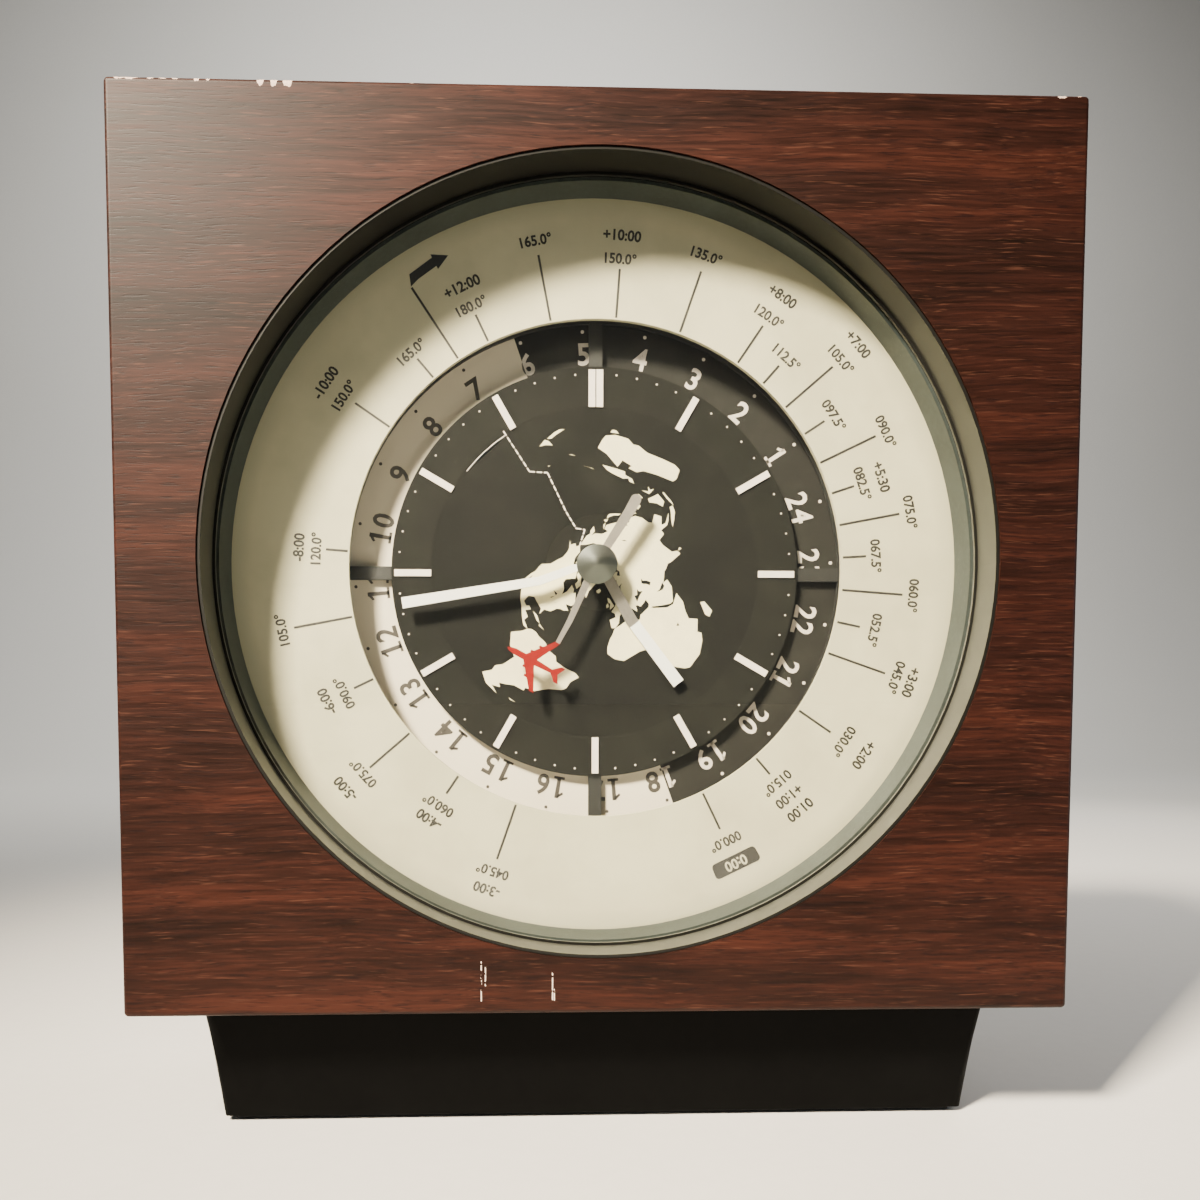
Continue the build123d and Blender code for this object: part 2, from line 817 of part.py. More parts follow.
def make_movement_screws():
    grip = train_plate_depth - plate_depth - movement_screw_tip_gap - wall_clearance
    with BuildPart() as movement_screws:
        for right, up in quarters:
            screw(
                movement_screw_radius,
                movement_screw_head_radius,
                movement_screw_head_length,
                -grip,
                plate_depth,
                (right * post_place, up * post_place),
            )
    finish(movement_screws, "movement_screws")


# Front shell of the movement: its neck goes through the mount plate round the hour pipe
def make_movement_front():
    inside = 2 * shell_inside
    inside_corner = shell_corner_radius - shell_wall
    inside_depth = shell_depth + shell_wall
    hole_end = train_plate_depth - movement_screw_tip_gap
    with BuildPart() as movement_front:
        block(shell_size, shell_size, shell_corner_radius, shell_depth, shell_split)
        block(inside, inside, inside_corner, inside_depth, shell_split, mode=Mode.SUBTRACT)
        for right, up in quarters:
            place = (right * post_place, up * post_place)
            bar(post_radius, inside_depth, train_plate_depth, place)
            bar(movement_screw_radius + snug, shell_depth, hole_end, place, Mode.SUBTRACT)
        bar(minute_post_radius, inside_depth, cannon_end, minute_axis)
        bar(neck_radius, shell_depth - neck_length, shell_depth)
        bar(hour_pipe_radius + running_fit, plate_depth - overrun, inside_depth, mode=Mode.SUBTRACT)
    finish(movement_front, "movement_front")


# Back shell of the movement, with the battery bay moulded on below
def make_movement_back():
    inside = 2 * shell_inside
    inside_corner = shell_corner_radius - shell_wall
    bay_inner_depth = bay_depth + shell_wall
    bay_place = (0, bay_height)
    post_offset = (board_width / 2 - board_post_inset, board_height / 2 - board_post_inset)
    with BuildPart() as movement_back:
        block(shell_size, shell_size, shell_corner_radius, shell_split, shell_end)
        with BuildSketch(dial_plane(cover_depth, bay_place)):
            Rectangle(2 * (bay_half_width + shell_wall), 2 * (bay_half_height + shell_wall))
        extrude(amount=cover_depth - bay_depth)
        with BuildSketch(dial_plane(shell_split)):
            Rectangle(shell_size + overrun, shell_size)
        extrude(amount=shell_split - bay_depth + overrun, mode=Mode.SUBTRACT)
        with BuildSketch(dial_plane(cover_depth, bay_place)):
            Rectangle(2 * bay_half_width, 2 * bay_half_height)
        extrude(amount=cover_depth - bay_inner_depth, mode=Mode.SUBTRACT)
        block(inside, inside, inside_corner, shell_split, shell_inner_end, mode=Mode.SUBTRACT)
        for side in (-1, 1):
            place = (board_middle[0] + side * post_offset[0], board_middle[1] + side * post_offset[1])
            bar(board_post_radius, shell_inner_end - board_gap, shell_inner_end, place)
        bar(set_shaft_radius + set_shaft_clearance, shell_inner_end, shell_end, set_axis, Mode.SUBTRACT)
    finish(movement_back, "movement_back")


# Motion work
def make_hour_wheel():
    wheel_end = hour_wheel_depth + motion_wheel_thickness
    with BuildPart() as hour_wheel:
        gear(hour_wheel_teeth, motion_module, hour_wheel_phase, hour_wheel_depth, wheel_end, steps=2)
        bar(hour_pipe_radius, hour_hand_depth, hour_wheel_depth)
        bar(hour_pipe_bore, hour_hand_depth, wheel_end, mode=Mode.SUBTRACT)
    finish(hour_wheel, "hour_wheel")


def make_cannon_pinion():
    with BuildPart() as cannon_pinion:
        gear(cannon_teeth, motion_module, 0, cannon_depth, cannon_end, steps=2)
        bar(cannon_radius, minute_hand_depth, cannon_depth)
        bar(cannon_radius, cannon_end, cannon_tail_end)
        bar(cannon_bore, minute_hand_depth, cannon_tail_end, mode=Mode.SUBTRACT)
    finish(cannon_pinion, "cannon_pinion")


def make_minute_wheel():
    wheel_end = minute_wheel_depth + motion_wheel_thickness
    pinion_start = hour_wheel_depth - hour_wheel_gap / 2
    with BuildPart() as minute_wheel:
        gear(minute_pinion_teeth, motion_module, 0, pinion_start, minute_wheel_depth, minute_axis, steps=2)
        gear(
            minute_wheel_teeth,
            motion_module,
            minute_wheel_phase,
            minute_wheel_depth,
            wheel_end,
            minute_axis,
            steps=2,
        )
        bar(minute_post_radius + running_fit, pinion_start, wheel_end, minute_axis, Mode.SUBTRACT)
    finish(minute_wheel, "minute_wheel")


# Going train
def make_train_plate():
    size = 2 * (shell_inside - wall_clearance)
    with BuildPart() as train_plate:
        with BuildSketch(dial_plane(train_plate_end)):
            RectangleRounded(size, size, shell_corner_radius - shell_wall)
            Circle(cannon_radius + running_fit, mode=Mode.SUBTRACT)
            with Locations(third_axis, idler_axis, rotor_axis):
                Circle(train_arbor_radius + running_fit, mode=Mode.SUBTRACT)
            with Locations(set_axis):
                Circle(set_shaft_radius + set_shaft_clearance, mode=Mode.SUBTRACT)
        extrude(amount=train_plate_thickness)
    finish(train_plate, "train_plate")


def make_train_bridge():
    with BuildPart() as train_bridge:
        with BuildSketch(dial_plane(train_bridge_end)):
            with Locations((0, 0), third_axis, idler_axis, rotor_axis, *pillar_places):
                Circle(bridge_eye_radius)
            make_hull()
            Circle(second_arbor_radius + running_fit, mode=Mode.SUBTRACT)
            with Locations(third_axis, idler_axis, rotor_axis):
                Circle(train_arbor_radius + running_fit, mode=Mode.SUBTRACT)
        extrude(amount=train_bridge_thickness)
        for place in pillar_places:
            bar(pillar_radius, train_plate_end, train_bridge_depth, place)
    finish(train_bridge, "train_bridge")


def make_centre_wheel():
    wheel_end = centre_wheel_depth + train_wheel_thickness
    with BuildPart() as centre_wheel:
        gear(centre_wheel_teeth, centre_module, centre_wheel_phase, centre_wheel_depth, wheel_end)
        bar(cannon_radius + snug, centre_wheel_depth, wheel_end, mode=Mode.SUBTRACT)
    finish(centre_wheel, "centre_wheel")


def make_third_wheel():
    wheel_end = third_wheel_depth + train_wheel_thickness
    pinion_start = centre_wheel_depth - gear_gap
    with BuildPart() as third_wheel:
        gear(pinion_leaves, centre_module, 0, pinion_start, third_wheel_depth, third_axis)
        gear(third_wheel_teeth, train_module, third_wheel_phase, third_wheel_depth, wheel_end, third_axis)
        bar(train_arbor_radius, pivot_start, pivot_end, third_axis)
    finish(third_wheel, "third_wheel")


def make_second_wheel():
    wheel_end = second_wheel_depth + train_wheel_thickness
    pinion_start = third_wheel_depth - gear_gap
    with BuildPart() as second_wheel:
        bar(second_arbor_radius, second_hand_depth, pivot_end)
        gear(pinion_leaves, train_module, 0, pinion_start, second_wheel_depth)
        gear(second_wheel_teeth, idler_module, 0, second_wheel_depth, wheel_end)
    finish(second_wheel, "second_wheel")


def make_idler_wheel():
    wheel_end = idler_wheel_depth + train_wheel_thickness
    pinion_start = second_wheel_depth - gear_gap
    with BuildPart() as idler_wheel:
        gear(pinion_leaves, idler_module, idler_pinion_phase, pinion_start, idler_wheel_depth, idler_axis)
        gear(idler_wheel_teeth, rotor_module, 0, idler_wheel_depth, wheel_end, idler_axis)
        bar(train_arbor_radius, pivot_start, pivot_end, idler_axis)
    finish(idler_wheel, "idler_wheel")


def make_rotor():
    pinion_start = idler_wheel_depth - gear_gap
    with BuildPart() as rotor:
        gear(pinion_leaves, rotor_module, rotor_pinion_phase, pinion_start, rotor_depth, rotor_axis)
        bar(rotor_radius, rotor_depth, rotor_depth + rotor_length, rotor_axis)
        bar(train_arbor_radius, pivot_start, pivot_end, rotor_axis)
    finish(rotor, "rotor")


# Stator: two pole pieces joined round the rotor, with feet for the coil's core
def make_stator():
    half = [
        (0, stator_top),
        (stator_half_width, stator_top),
        (stator_half_width, -stator_shoulder),
        (stator_reach, -stator_shoulder - stator_foot_width / 2),
        (stator_reach, -stator_foot_end),
        (stator_reach - stator_foot_width, -stator_foot_end),
        (stator_reach - stator_foot_width, -stator_underside),
        (0, -stator_underside),
    ]
    with BuildPart() as stator:
        with BuildSketch(dial_plane(stator_depth + stator_thickness, rotor_axis)):
            with BuildLine():
                Polyline(*half, close=True)
            make_face()
            mirror(about=Plane.YZ)
            Circle(rotor_radius + rotor_air_gap, mode=Mode.SUBTRACT)
        extrude(amount=stator_thickness)
    finish(stator, "stator")


def make_coil_core():
    start = stator_depth + stator_thickness
    with BuildPart() as coil_core:
        with BuildSketch(dial_plane(start + coil_core_thickness, (rotor_axis[0], coil_height))):
            Rectangle(2 * stator_reach, coil_core_width)
        extrude(amount=coil_core_thickness)
    finish(coil_core, "coil_core")


# Coil: a winding between the two ends of its bobbin, round the core
def make_coil():
    half = coil_length / 2
    with BuildPart() as coil:
        with BuildSketch(side_plane(rotor_axis[0] - half, (coil_depth, coil_height))):
            Circle(coil_radius)
        extrude(amount=coil_length)
        for right in (rotor_axis[0] - half, rotor_axis[0] + half - bobbin_end):
            with BuildSketch(side_plane(right, (coil_depth, coil_height))):
                Circle(coil_radius + coil_flange)
            extrude(amount=bobbin_end)
        with BuildSketch(side_plane(rotor_axis[0] - half, (coil_depth, coil_height))):
            Rectangle(coil_core_thickness + 2 * snug, coil_core_width + 2 * snug)
        extrude(amount=coil_length, mode=Mode.SUBTRACT)
    finish(coil, "coil")


def make_circuit_board():
    with BuildPart() as circuit_board:
        with BuildSketch(dial_plane(board_depth + board_thickness, board_middle)):
            Rectangle(board_width, board_height)
        extrude(amount=board_thickness)
    finish(circuit_board, "circuit_board")


def make_quartz_crystal():
    place = (board_depth - crystal_radius, board_middle[1] + board_height * part_spacing_share)
    with BuildPart() as quartz_crystal:
        with BuildSketch(side_plane(board_middle[0] - crystal_length / 2, place)):
            Circle(crystal_radius)
        extrude(amount=crystal_length)
    finish(quartz_crystal, "quartz_crystal")


def make_clock_chip():
    place = (board_middle[0], board_middle[1] - board_height * part_spacing_share)
    with BuildPart() as clock_chip:
        with BuildSketch(dial_plane(board_depth, place)):
            Rectangle(chip_size, chip_size)
        extrude(amount=chip_thickness)
    finish(clock_chip, "clock_chip")


# Battery and its contacts: bent strips that stand off the end walls of the bay
def make_battery():
    place = (battery_depth, bay_height)
    with BuildPart() as battery:
        with BuildSketch(side_plane(-battery_half, place)):
            Circle(battery_radius)
        extrude(amount=battery_length)
        with BuildSketch(side_plane(battery_half - button_length, place)):
            Circle(button_radius)
        extrude(amount=button_length)
    finish(battery, "battery")


def make_contact(name, side):
    wall = side * (bay_half_width - contact_thickness / 2)
    crown = side * (battery_half + contact_thickness / 2)
    ends = contact_half_height + contact_foot
    with BuildPart() as contact:
        with BuildSketch(dial_plane(battery_depth + contact_width / 2, (0, bay_height))):
            with BuildLine():
                Polyline(
                    (wall, -ends),
                    (wall, -contact_half_height),
                    (crown, -contact_half_crown),
                    (crown, contact_half_crown),
                    (wall, contact_half_height),
                    (wall, ends),
                )
            trace(line_width=contact_thickness)
        extrude(amount=contact_width)
    finish(contact, name)


# Hands: flat bars that widen outwards, each on its own hub
def hand_plane(depth, angle, along=0):
    turn = radians(angle)
    origin = (along * sin(turn), front_y + depth, dial_height + along * cos(turn))
    return Plane(origin=origin, x_dir=(cos(turn), 0, -sin(turn)), z_dir=(0, -1, 0))


def hand_outline(hub_radius, length, inner_width, outer_width, bore):
    with BuildSketch() as outline:
        Circle(hub_radius)
        with BuildLine():
            Polyline(
                (-inner_width / 2, 0),
                (-outer_width / 2, length),
                (outer_width / 2, length),
                (inner_width / 2, 0),
                close=True,
            )
        make_face()
        Circle(bore, mode=Mode.SUBTRACT)
    return outline.sketch


def make_hour_hand():
    outline = hand_outline(
        hour_hub_radius,
        hour_hand_length,
        hour_hand_inner_width,
        hour_hand_outer_width,
        hour_pipe_radius + snug,
    )
    with BuildPart() as hour_hand:
        with BuildSketch(hand_plane(hour_hand_depth + hand_thickness, hour_hand_angle)):
            add(outline)
        extrude(amount=hand_thickness)
    finish(hour_hand, "hour_hand")


def make_minute_hand():
    outline = hand_outline(
        minute_hub_radius,
        minute_hand_length,
        minute_hand_inner_width,
        minute_hand_outer_width,
        cannon_radius + snug,
    )
    with BuildPart() as minute_hand:
        with BuildSketch(hand_plane(minute_hand_depth + hand_thickness, minute_hand_angle)):
            add(outline)
        extrude(amount=hand_thickness)
    finish(minute_hand, "minute_hand")


# Second hand: a tail bar with a rounded end on one side and a thin stem on the other
def make_second_hand():
    end_radius = tail_outer_width / 2
    with BuildPart() as second_hand:
        with BuildSketch(hand_plane(second_hand_depth + second_hand_thickness, second_hand_angle)):
            Circle(second_hub_radius)
            with BuildLine():
                Polyline(
                    (-tail_inner_width / 2, 0),
                    (-end_radius, end_radius - tail_length),
                    (end_radius, end_radius - tail_length),
                    (tail_inner_width / 2, 0),
                    close=True,
                )
            make_face()
            with Locations((0, end_radius - tail_length)):
                Circle(end_radius)
            with BuildLine():
                Polyline(
                    (-stem_inner_width / 2, 0),
                    (-stem_outer_width / 2, stem_length),
                    (stem_outer_width / 2, stem_length),
                    (stem_inner_width / 2, 0),
                    close=True,
                )
            make_face()
            Circle(second_arbor_radius + snug, mode=Mode.SUBTRACT)
        extrude(amount=second_hand_thickness)
    finish(second_hand, "second_hand")


# Aeroplane: seen from above, with x forward and its inner wing tip on the end of the stem
def make_aeroplane():
    middle = stem_length + wing_span / 2
    half_body = fuselage_width / 2
    nose = wing_sweep + nose_length
    wing_front = wing_sweep + wing_root_chord / 2
    tail = wing_sweep - tail_boom_length
    half = [
        (nose, 0),
        (nose - half_body, half_body * slim_share),
        (nose - nose_taper, half_body),
        (wing_front, half_body),
        (wing_tip_chord / 2, wing_span / 2),
        (-wing_tip_chord / 2, wing_span / 2),
        (wing_front - wing_root_chord, half_body),
        (tail + tail_root_length, half_body * slim_share),
        (tail, tail_fin_span / 2),
        (tail - tail_fin_chord, tail_fin_span / 2),
        (tail, 0),
    ]
    with BuildPart() as aeroplane:
        with BuildSketch(hand_plane(second_hand_depth + second_hand_thickness, second_hand_angle, middle)):
            with BuildLine():
                Polyline(*half, close=True)
            make_face()
            for share in engine_place_shares:
                lead = wing_front + (wing_tip_chord / 2 - wing_front) * share
                with Locations((lead + engine_lead, share * wing_span / 2)):
                    Rectangle(engine_length, engine_width)
            mirror(about=Plane.XZ)
        extrude(amount=second_hand_thickness)
    finish(aeroplane, "aeroplane")


def make_hand_cap():
    with BuildPart() as hand_cap:
        turned(
            (
                (0, second_hand_depth - cap_height),
                (cap_radius, second_hand_depth - cap_rim),
                (cap_radius, second_hand_depth),
                (0, second_hand_depth),
            )
        )
    finish(hand_cap, "hand_cap")


# Setting shaft: its pinion turns the minute wheel, and the knob sits on its back end
def make_set_pinion():
    with BuildPart() as set_pinion:
        gear(set_pinion_teeth, motion_module, set_pinion_phase, cannon_depth, cannon_end, set_axis)
        bar(set_shaft_radius, cannon_end, knob_depth + knob_length / 2, set_axis)
    finish(set_pinion, "set_pinion")


def make_set_knob():
    with BuildPart() as set_knob:
        with BuildSketch(dial_plane(knob_depth + knob_length, set_axis)):
            Circle(knob_radius)
            with PolarLocations(knob_radius, knob_flutes):
                Circle(knob_flute_radius, mode=Mode.SUBTRACT)
        extrude(amount=knob_length)
        bar(set_shaft_radius + snug, knob_depth, knob_depth + knob_length / 2, set_axis, Mode.SUBTRACT)
    finish(set_knob, "set_knob")


# Back cover: a moulded panel with a round pocket for the knob, an opening for the battery and two rails
def make_back_cover():
    width = 2 * (cavity_half_width - wall_clearance)
    height = 2 * (cavity_half_height - wall_clearance)
    pocket_radius = knob_radius + pocket_clearance
    pocket_start = knob_floor - cover_thickness
    rail_start = -door_half_height - rail_web
    rail_end = door_half_height + door_travel / 2
    rail_middle = bay_height + (rail_start + rail_end) / 2
    lip_depth = door_depth + door_thickness + rail_clearance
    rail_inner = door_half_width + rail_clearance
    with BuildPart() as back_cover:
        block(width, height, cover_corner_radius, cover_depth, cover_end)
        bar(pocket_radius + cover_thickness, pocket_start, cover_end, set_axis)
        bar(pocket_radius, knob_floor, cover_end, set_axis, Mode.SUBTRACT)
        bar(set_shaft_radius + set_shaft_clearance, pocket_start, cover_end, set_axis, Mode.SUBTRACT)
        with BuildSketch(dial_plane(cover_end, (0, bay_height))):
            Rectangle(2 * bay_half_width, 2 * bay_half_height)
        extrude(amount=cover_thickness, mode=Mode.SUBTRACT)
        for right, up in quarters:
            place = (right * cover_screw_place[0], up * cover_screw_place[1])
            bar(cover_screw_radius + snug, cover_depth, cover_end, place, Mode.SUBTRACT)
        for side in (-1, 1):
            web_middle = side * (rail_inner + rail_web / 2)
            lip_middle = side * (rail_inner + (rail_web - rail_lip) / 2)
            with BuildSketch(dial_plane(lip_depth, (web_middle, rail_middle))):
                Rectangle(rail_web, rail_end - rail_start)
            extrude(amount=lip_depth - cover_end)
            with BuildSketch(dial_plane(lip_depth + rail_thickness, (lip_middle, rail_middle))):
                Rectangle(rail_web + rail_lip, rail_end - rail_start)
            extrude(amount=rail_thickness)
        stop_middle = (0, bay_height - door_half_height - rail_web / 2)
        with BuildSketch(dial_plane(lip_depth, stop_middle)):
            Rectangle(2 * rail_inner, rail_web)
        extrude(amount=lip_depth - cover_end)
    finish(back_cover, "back_cover")


def make_battery_door():
    door_end = door_depth + door_thickness
    rib_step = grip_rib_height + grip_rib_gap
    rib_start = bay_height + door_half_height - rib_step * (grip_ribs + 1)
    with BuildPart() as battery_door:
        with BuildSketch(dial_plane(door_end, (0, bay_height))):
            Rectangle(2 * door_half_width, 2 * door_half_height - snug)
        extrude(amount=door_thickness)
        for rib in range(grip_ribs):
            with BuildSketch(dial_plane(door_end + grip_rib_rise, (0, rib_start + rib * rib_step))):
                Rectangle(grip_rib_width, grip_rib_height)
            extrude(amount=grip_rib_rise)
    finish(battery_door, "battery_door")


def make_cover_screws():
    with BuildPart() as cover_screws:
        for right, up in quarters:
            screw(
                cover_screw_radius,
                cover_screw_head_radius,
                cover_screw_head_length,
                cover_screw_grip + cover_thickness - wall_clearance,
                cover_end,
                (right * cover_screw_place[0], up * cover_screw_place[1]),
            )
    finish(cover_screws, "cover_screws")


def main():
    os.makedirs("parts", exist_ok=True)
    make_wood_case()
    make_plinth()
    make_plinth_screws()
    make_felt_pad()
    make_bezel()
    make_glass()
    make_flange_ring()
    make_city_ring()
    make_dial_tray()
    make_dial_bridge()
    make_map_dial()
    make_hour_batons()
    make_day_night_ring()
    make_ring_gear()
    make_lay_gear()
    make_lay_arbor()
    make_hour_pinion()
    make_mount_plate()
    make_plate_screws()
    make_movement_screws()
    make_movement_front()
    make_movement_back()
    make_hour_wheel()
    make_cannon_pinion()
    make_minute_wheel()
    make_train_plate()
    make_train_bridge()
    make_centre_wheel()
    make_third_wheel()
    make_second_wheel()
    make_idler_wheel()
    make_rotor()
    make_stator()
    make_coil_core()
    make_coil()
    make_circuit_board()
    make_quartz_crystal()
    make_clock_chip()
    make_battery()
    make_contact("contact_plus", 1)
    make_contact("contact_minus", -1)
    make_hour_hand()
    make_minute_hand()
    make_second_hand()
    make_aeroplane()
    make_hand_cap()
    make_set_pinion()
    make_set_knob()
    make_back_cover()
    make_battery_door()
    make_cover_screws()


main()
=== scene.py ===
"""World time clock: the finishes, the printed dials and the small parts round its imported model."""
import json
from math import cos, radians, sin, tau

import bmesh
import bpy
from mathutils import Matrix, Vector


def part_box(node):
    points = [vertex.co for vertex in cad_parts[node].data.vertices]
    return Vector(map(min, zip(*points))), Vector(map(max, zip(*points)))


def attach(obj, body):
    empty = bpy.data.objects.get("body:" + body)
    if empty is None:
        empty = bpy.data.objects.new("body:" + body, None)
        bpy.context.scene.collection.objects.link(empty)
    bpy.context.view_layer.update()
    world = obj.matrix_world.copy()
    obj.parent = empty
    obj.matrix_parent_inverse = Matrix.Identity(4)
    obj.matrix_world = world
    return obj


bl_info = {
    "name": "World time clock",
    "version": (1, 0, 0),
    "blender": (4, 5, 0),
    "location": "View3D > Sidebar > World clock",
    "description": "Wood, printed dials, hands and movement finishes of a square world time clock",
    "category": "Object",
}

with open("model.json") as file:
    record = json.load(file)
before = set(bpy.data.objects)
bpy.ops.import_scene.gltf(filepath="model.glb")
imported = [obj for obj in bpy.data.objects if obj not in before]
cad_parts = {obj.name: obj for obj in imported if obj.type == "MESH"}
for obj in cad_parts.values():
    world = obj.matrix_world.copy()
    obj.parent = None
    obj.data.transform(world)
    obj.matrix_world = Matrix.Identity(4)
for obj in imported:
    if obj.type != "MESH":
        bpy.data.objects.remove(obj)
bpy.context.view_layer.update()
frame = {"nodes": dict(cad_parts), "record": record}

MM = 0.001
# The sockets of a Mix node for numbers, vectors and colours.
FLOAT_A, FLOAT_B = 2, 3
VECTOR_A, VECTOR_B = 4, 5
VECTOR_MIX = {"out": 1, "data_type": "VECTOR"}
COLOUR_A, COLOUR_B = 6, 7
COLOUR_MIX = {"out": 2, "data_type": "RGBA"}

case_low, case_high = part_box("wood_case")
city_low, city_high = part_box("city_ring")
map_low, map_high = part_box("map_dial")
ring_low, ring_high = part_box("day_night_ring")
CENTRE = (city_low + city_high) / 2
CENTRE.y = 0.0
CITY_RADIUS = (city_high.x - city_low.x) / 2
MAP_RADIUS = (map_high.x - map_low.x) / 2
CHART_RADIUS = 0.8 * MAP_RADIUS
RING_RADIUS = (ring_high.x - ring_low.x) / 2

# Angles run clockwise from twelve o'clock, as the viewer sees the dial.
GREENWICH_ANGLE = 154.2
HOUR_STEP = 15.0
MIDDAY_ANGLE = 251.9
DAY_MIDDLE_ANGLE = 250.8


def linear(code):
    """The linear colour, with alpha, of an sRGB hex value."""
    levels = [int(code[place:place + 2], 16) / 255 for place in (0, 2, 4)]
    levels = [level / 12.92 if level < 0.04045 else ((level + 0.055) / 1.055) ** 2.4 for level in levels]
    return (*levels, 1.0)


def colour_setting(name, code, description):
    """A colour that a user can change, with its sRGB hex default."""
    return bpy.props.FloatVectorProperty(
        name=name, description=description, subtype="COLOR", size=4, min=0, max=1, default=linear(code)
    )


def size_setting(name, millimetres, description):
    """A length that a user can change, with its default in millimetres."""
    return bpy.props.FloatProperty(
        name=name, description=description, default=millimetres * MM, min=0, unit="LENGTH", precision=5
    )


def power_setting(name, watts):
    """The power of a light that a user can change."""
    return bpy.props.FloatProperty(name=name, description="In watts", default=watts, min=0, unit="POWER")


class ClockCaseSettings(bpy.types.PropertyGroup):
    """Wood and wear of the case."""

    dark_wood: colour_setting("Dark wood", "0E0502", "Dark lines of the veneer")
    mid_wood: colour_setting("Wood", "220E08", "Ground colour of the veneer")
    light_wood: colour_setting("Light wood", "361910", "Pale streaks of the veneer")
    fibre_width: size_setting("Fibre width", 0.55, "Width of one fibre line across the grain")
    fibre_length: size_setting("Fibre length", 16.0, "Length of one fibre line along the grain")
    band_width: size_setting("Band width", 7.0, "Width of the broad growth bands")
    wear_width: size_setting("Wear width", 1.0, "Depth of the chips along the upper edge")


class ClockDialSettings(bpy.types.PropertyGroup):
    """Colours and sizes of the printed dials."""

    ivory: colour_setting("City ring", "C9C3A4", "Matt ivory paint of the fixed outer ring")
    ink: colour_setting("Ink", "201E1A", "Dark printing ink")
    charcoal: colour_setting("Map ground", "161613", "Matt charcoal ground of the map")
    land: colour_setting("Land", "EFE6BC", "Printed land")
    day: colour_setting("Day half", "E6DBC4", "Light half of the turning ring")
    night: colour_setting("Night half", "191815", "Dark half of the turning ring")
    figures: colour_setting("White figures", "EDE2D6", "Figures and marks on the dark ground")
    print_lift: size_setting("Print thickness", 0.04, "How far the print stands proud of its ground")
    figure_height: size_setting("Hour figures", 4.0, "Height of the figures of the turning ring")
    zone_height: size_setting("Zone figures", 1.95, "Height of the figures of the fixed ring")
    tick_width: size_setting("Zone lines", 0.40, "Width of the lines of the fixed ring")


class ClockHandSettings(bpy.types.PropertyGroup):
    """Colours of the hands."""

    white: colour_setting("Hand white", "F8F7F0", "White paint of the hands")
    silver: colour_setting("Hand silver", "A9A29A", "Satin metal of the hands")
    red: colour_setting("Aeroplane", "760A05", "Red paint of the small aeroplane")
    white_start: size_setting("White starts", 11.6, "Distance from the axis where the white paint starts")


class ClockStageSettings(bpy.types.PropertyGroup):
    """Floor, lights and camera."""

    floor: colour_setting("Floor", "D9D7D2", "Plain pale floor")
    key_power: power_setting("Key light", 2.6)
    key_spread: bpy.props.FloatProperty(name="Key spread", description="In degrees", default=40, min=1)
    floor_power: power_setting("Floor light", 17.0)
    fill_power: power_setting("Fill light", 0.22)
    back_power: power_setting("Back light", 1.8)
    sky: bpy.props.FloatProperty(name="Room", description="Brightness of the room", default=0.13, min=0)
    lens: bpy.props.FloatProperty(name="Lens", description="Focal length", default=31.5, min=1, unit="CAMERA")


def fill(tree, node, values):
    """Links each given input of a node to a socket, or sets its value; a plain row fills them in order."""
    for socket, value in values.items() if isinstance(values, dict) else enumerate(values):
        if isinstance(value, bpy.types.NodeSocket):
            tree.links.new(value, node.inputs[socket])
        else:
            node.inputs[socket].default_value = value


def add(tree, kind, values, out=0, stops=(), **settings):
    """Adds one node with its settings, inputs and ramp stops, and returns one of its outputs."""
    # A MapRange node's row is its value, the range this has and the range it gets, which is else 0 to 1.
    node = tree.nodes.new("ShaderNode" + kind)
    for name, value in settings.items():
        setattr(node, name, value)
    fill(tree, node, values)
    for place, (position, colour) in enumerate(stops):
        elements = node.color_ramp.elements
        element = elements[place] if place < 2 else elements.new(position)
        element.position, element.color = position, colour
    return node.outputs[out]


def start_material(name, constants):
    """A material with these constants; returns it, its tree, its shader and the place on the object."""
    material = bpy.data.materials.new(name)
    material.use_nodes = True
    tree = material.node_tree
    shader = tree.nodes["Principled BSDF"]
    fill(tree, shader, constants)
    return material, tree, shader, add(tree, "TexCoord", {}, out="Object")


def from_axis(tree, place):
    """The distance from the axis of the hands."""
    centred = add(tree, "Mapping", {"Vector": place, "Location": -CENTRE})
    flat = add(tree, "VectorMath", (centred, (1, 0, 1)), operation="MULTIPLY")
    return add(tree, "VectorMath", (flat,), out="Value", operation="LENGTH")


def toned(colour, share):
    """A colour made darker or lighter."""
    return (*[min(level * share, 1.0) for level in colour[:3]], 1.0)


def dress(material, *nodes):
    """Gives carried-over nodes their finish through the material slots of their objects."""
    for name in nodes:
        piece = frame["nodes"][name]
        if not piece.material_slots:
            piece.data.materials.append(material)
        for place in piece.material_slots:
            place.link = "OBJECT"
            place.material = material


def even_finish(name, colour, grain, depth, constants, shade=0.18, patch=9.0):
    """A finish of one colour: a bump of this grain and depth, and soft patches, all in millimetres."""
    material, tree, shader, place = start_material(name, constants)
    fine = add(tree, "TexNoise", {"Vector": place, "Scale": 1 / (grain * MM), "Detail": 3.0})
    broad = add(tree, "TexNoise", {"Vector": place, "Scale": 1 / (patch * MM), "Detail": 4.0})
    mixed = add(tree, "Mix", {0: 0.5, FLOAT_A: fine, FLOAT_B: broad})
    tone = add(tree, "ValToRGB", (mixed,), stops=[
        (0.35, toned(colour, 1 - shade)), (0.65, toned(colour, 1 + shade)),
    ])
    bump = add(tree, "Bump", {"Height": fine, "Strength": 0.6, "Distance": depth * MM})
    fill(tree, shader, {"Base Color": tone, "Normal": bump})
    return material


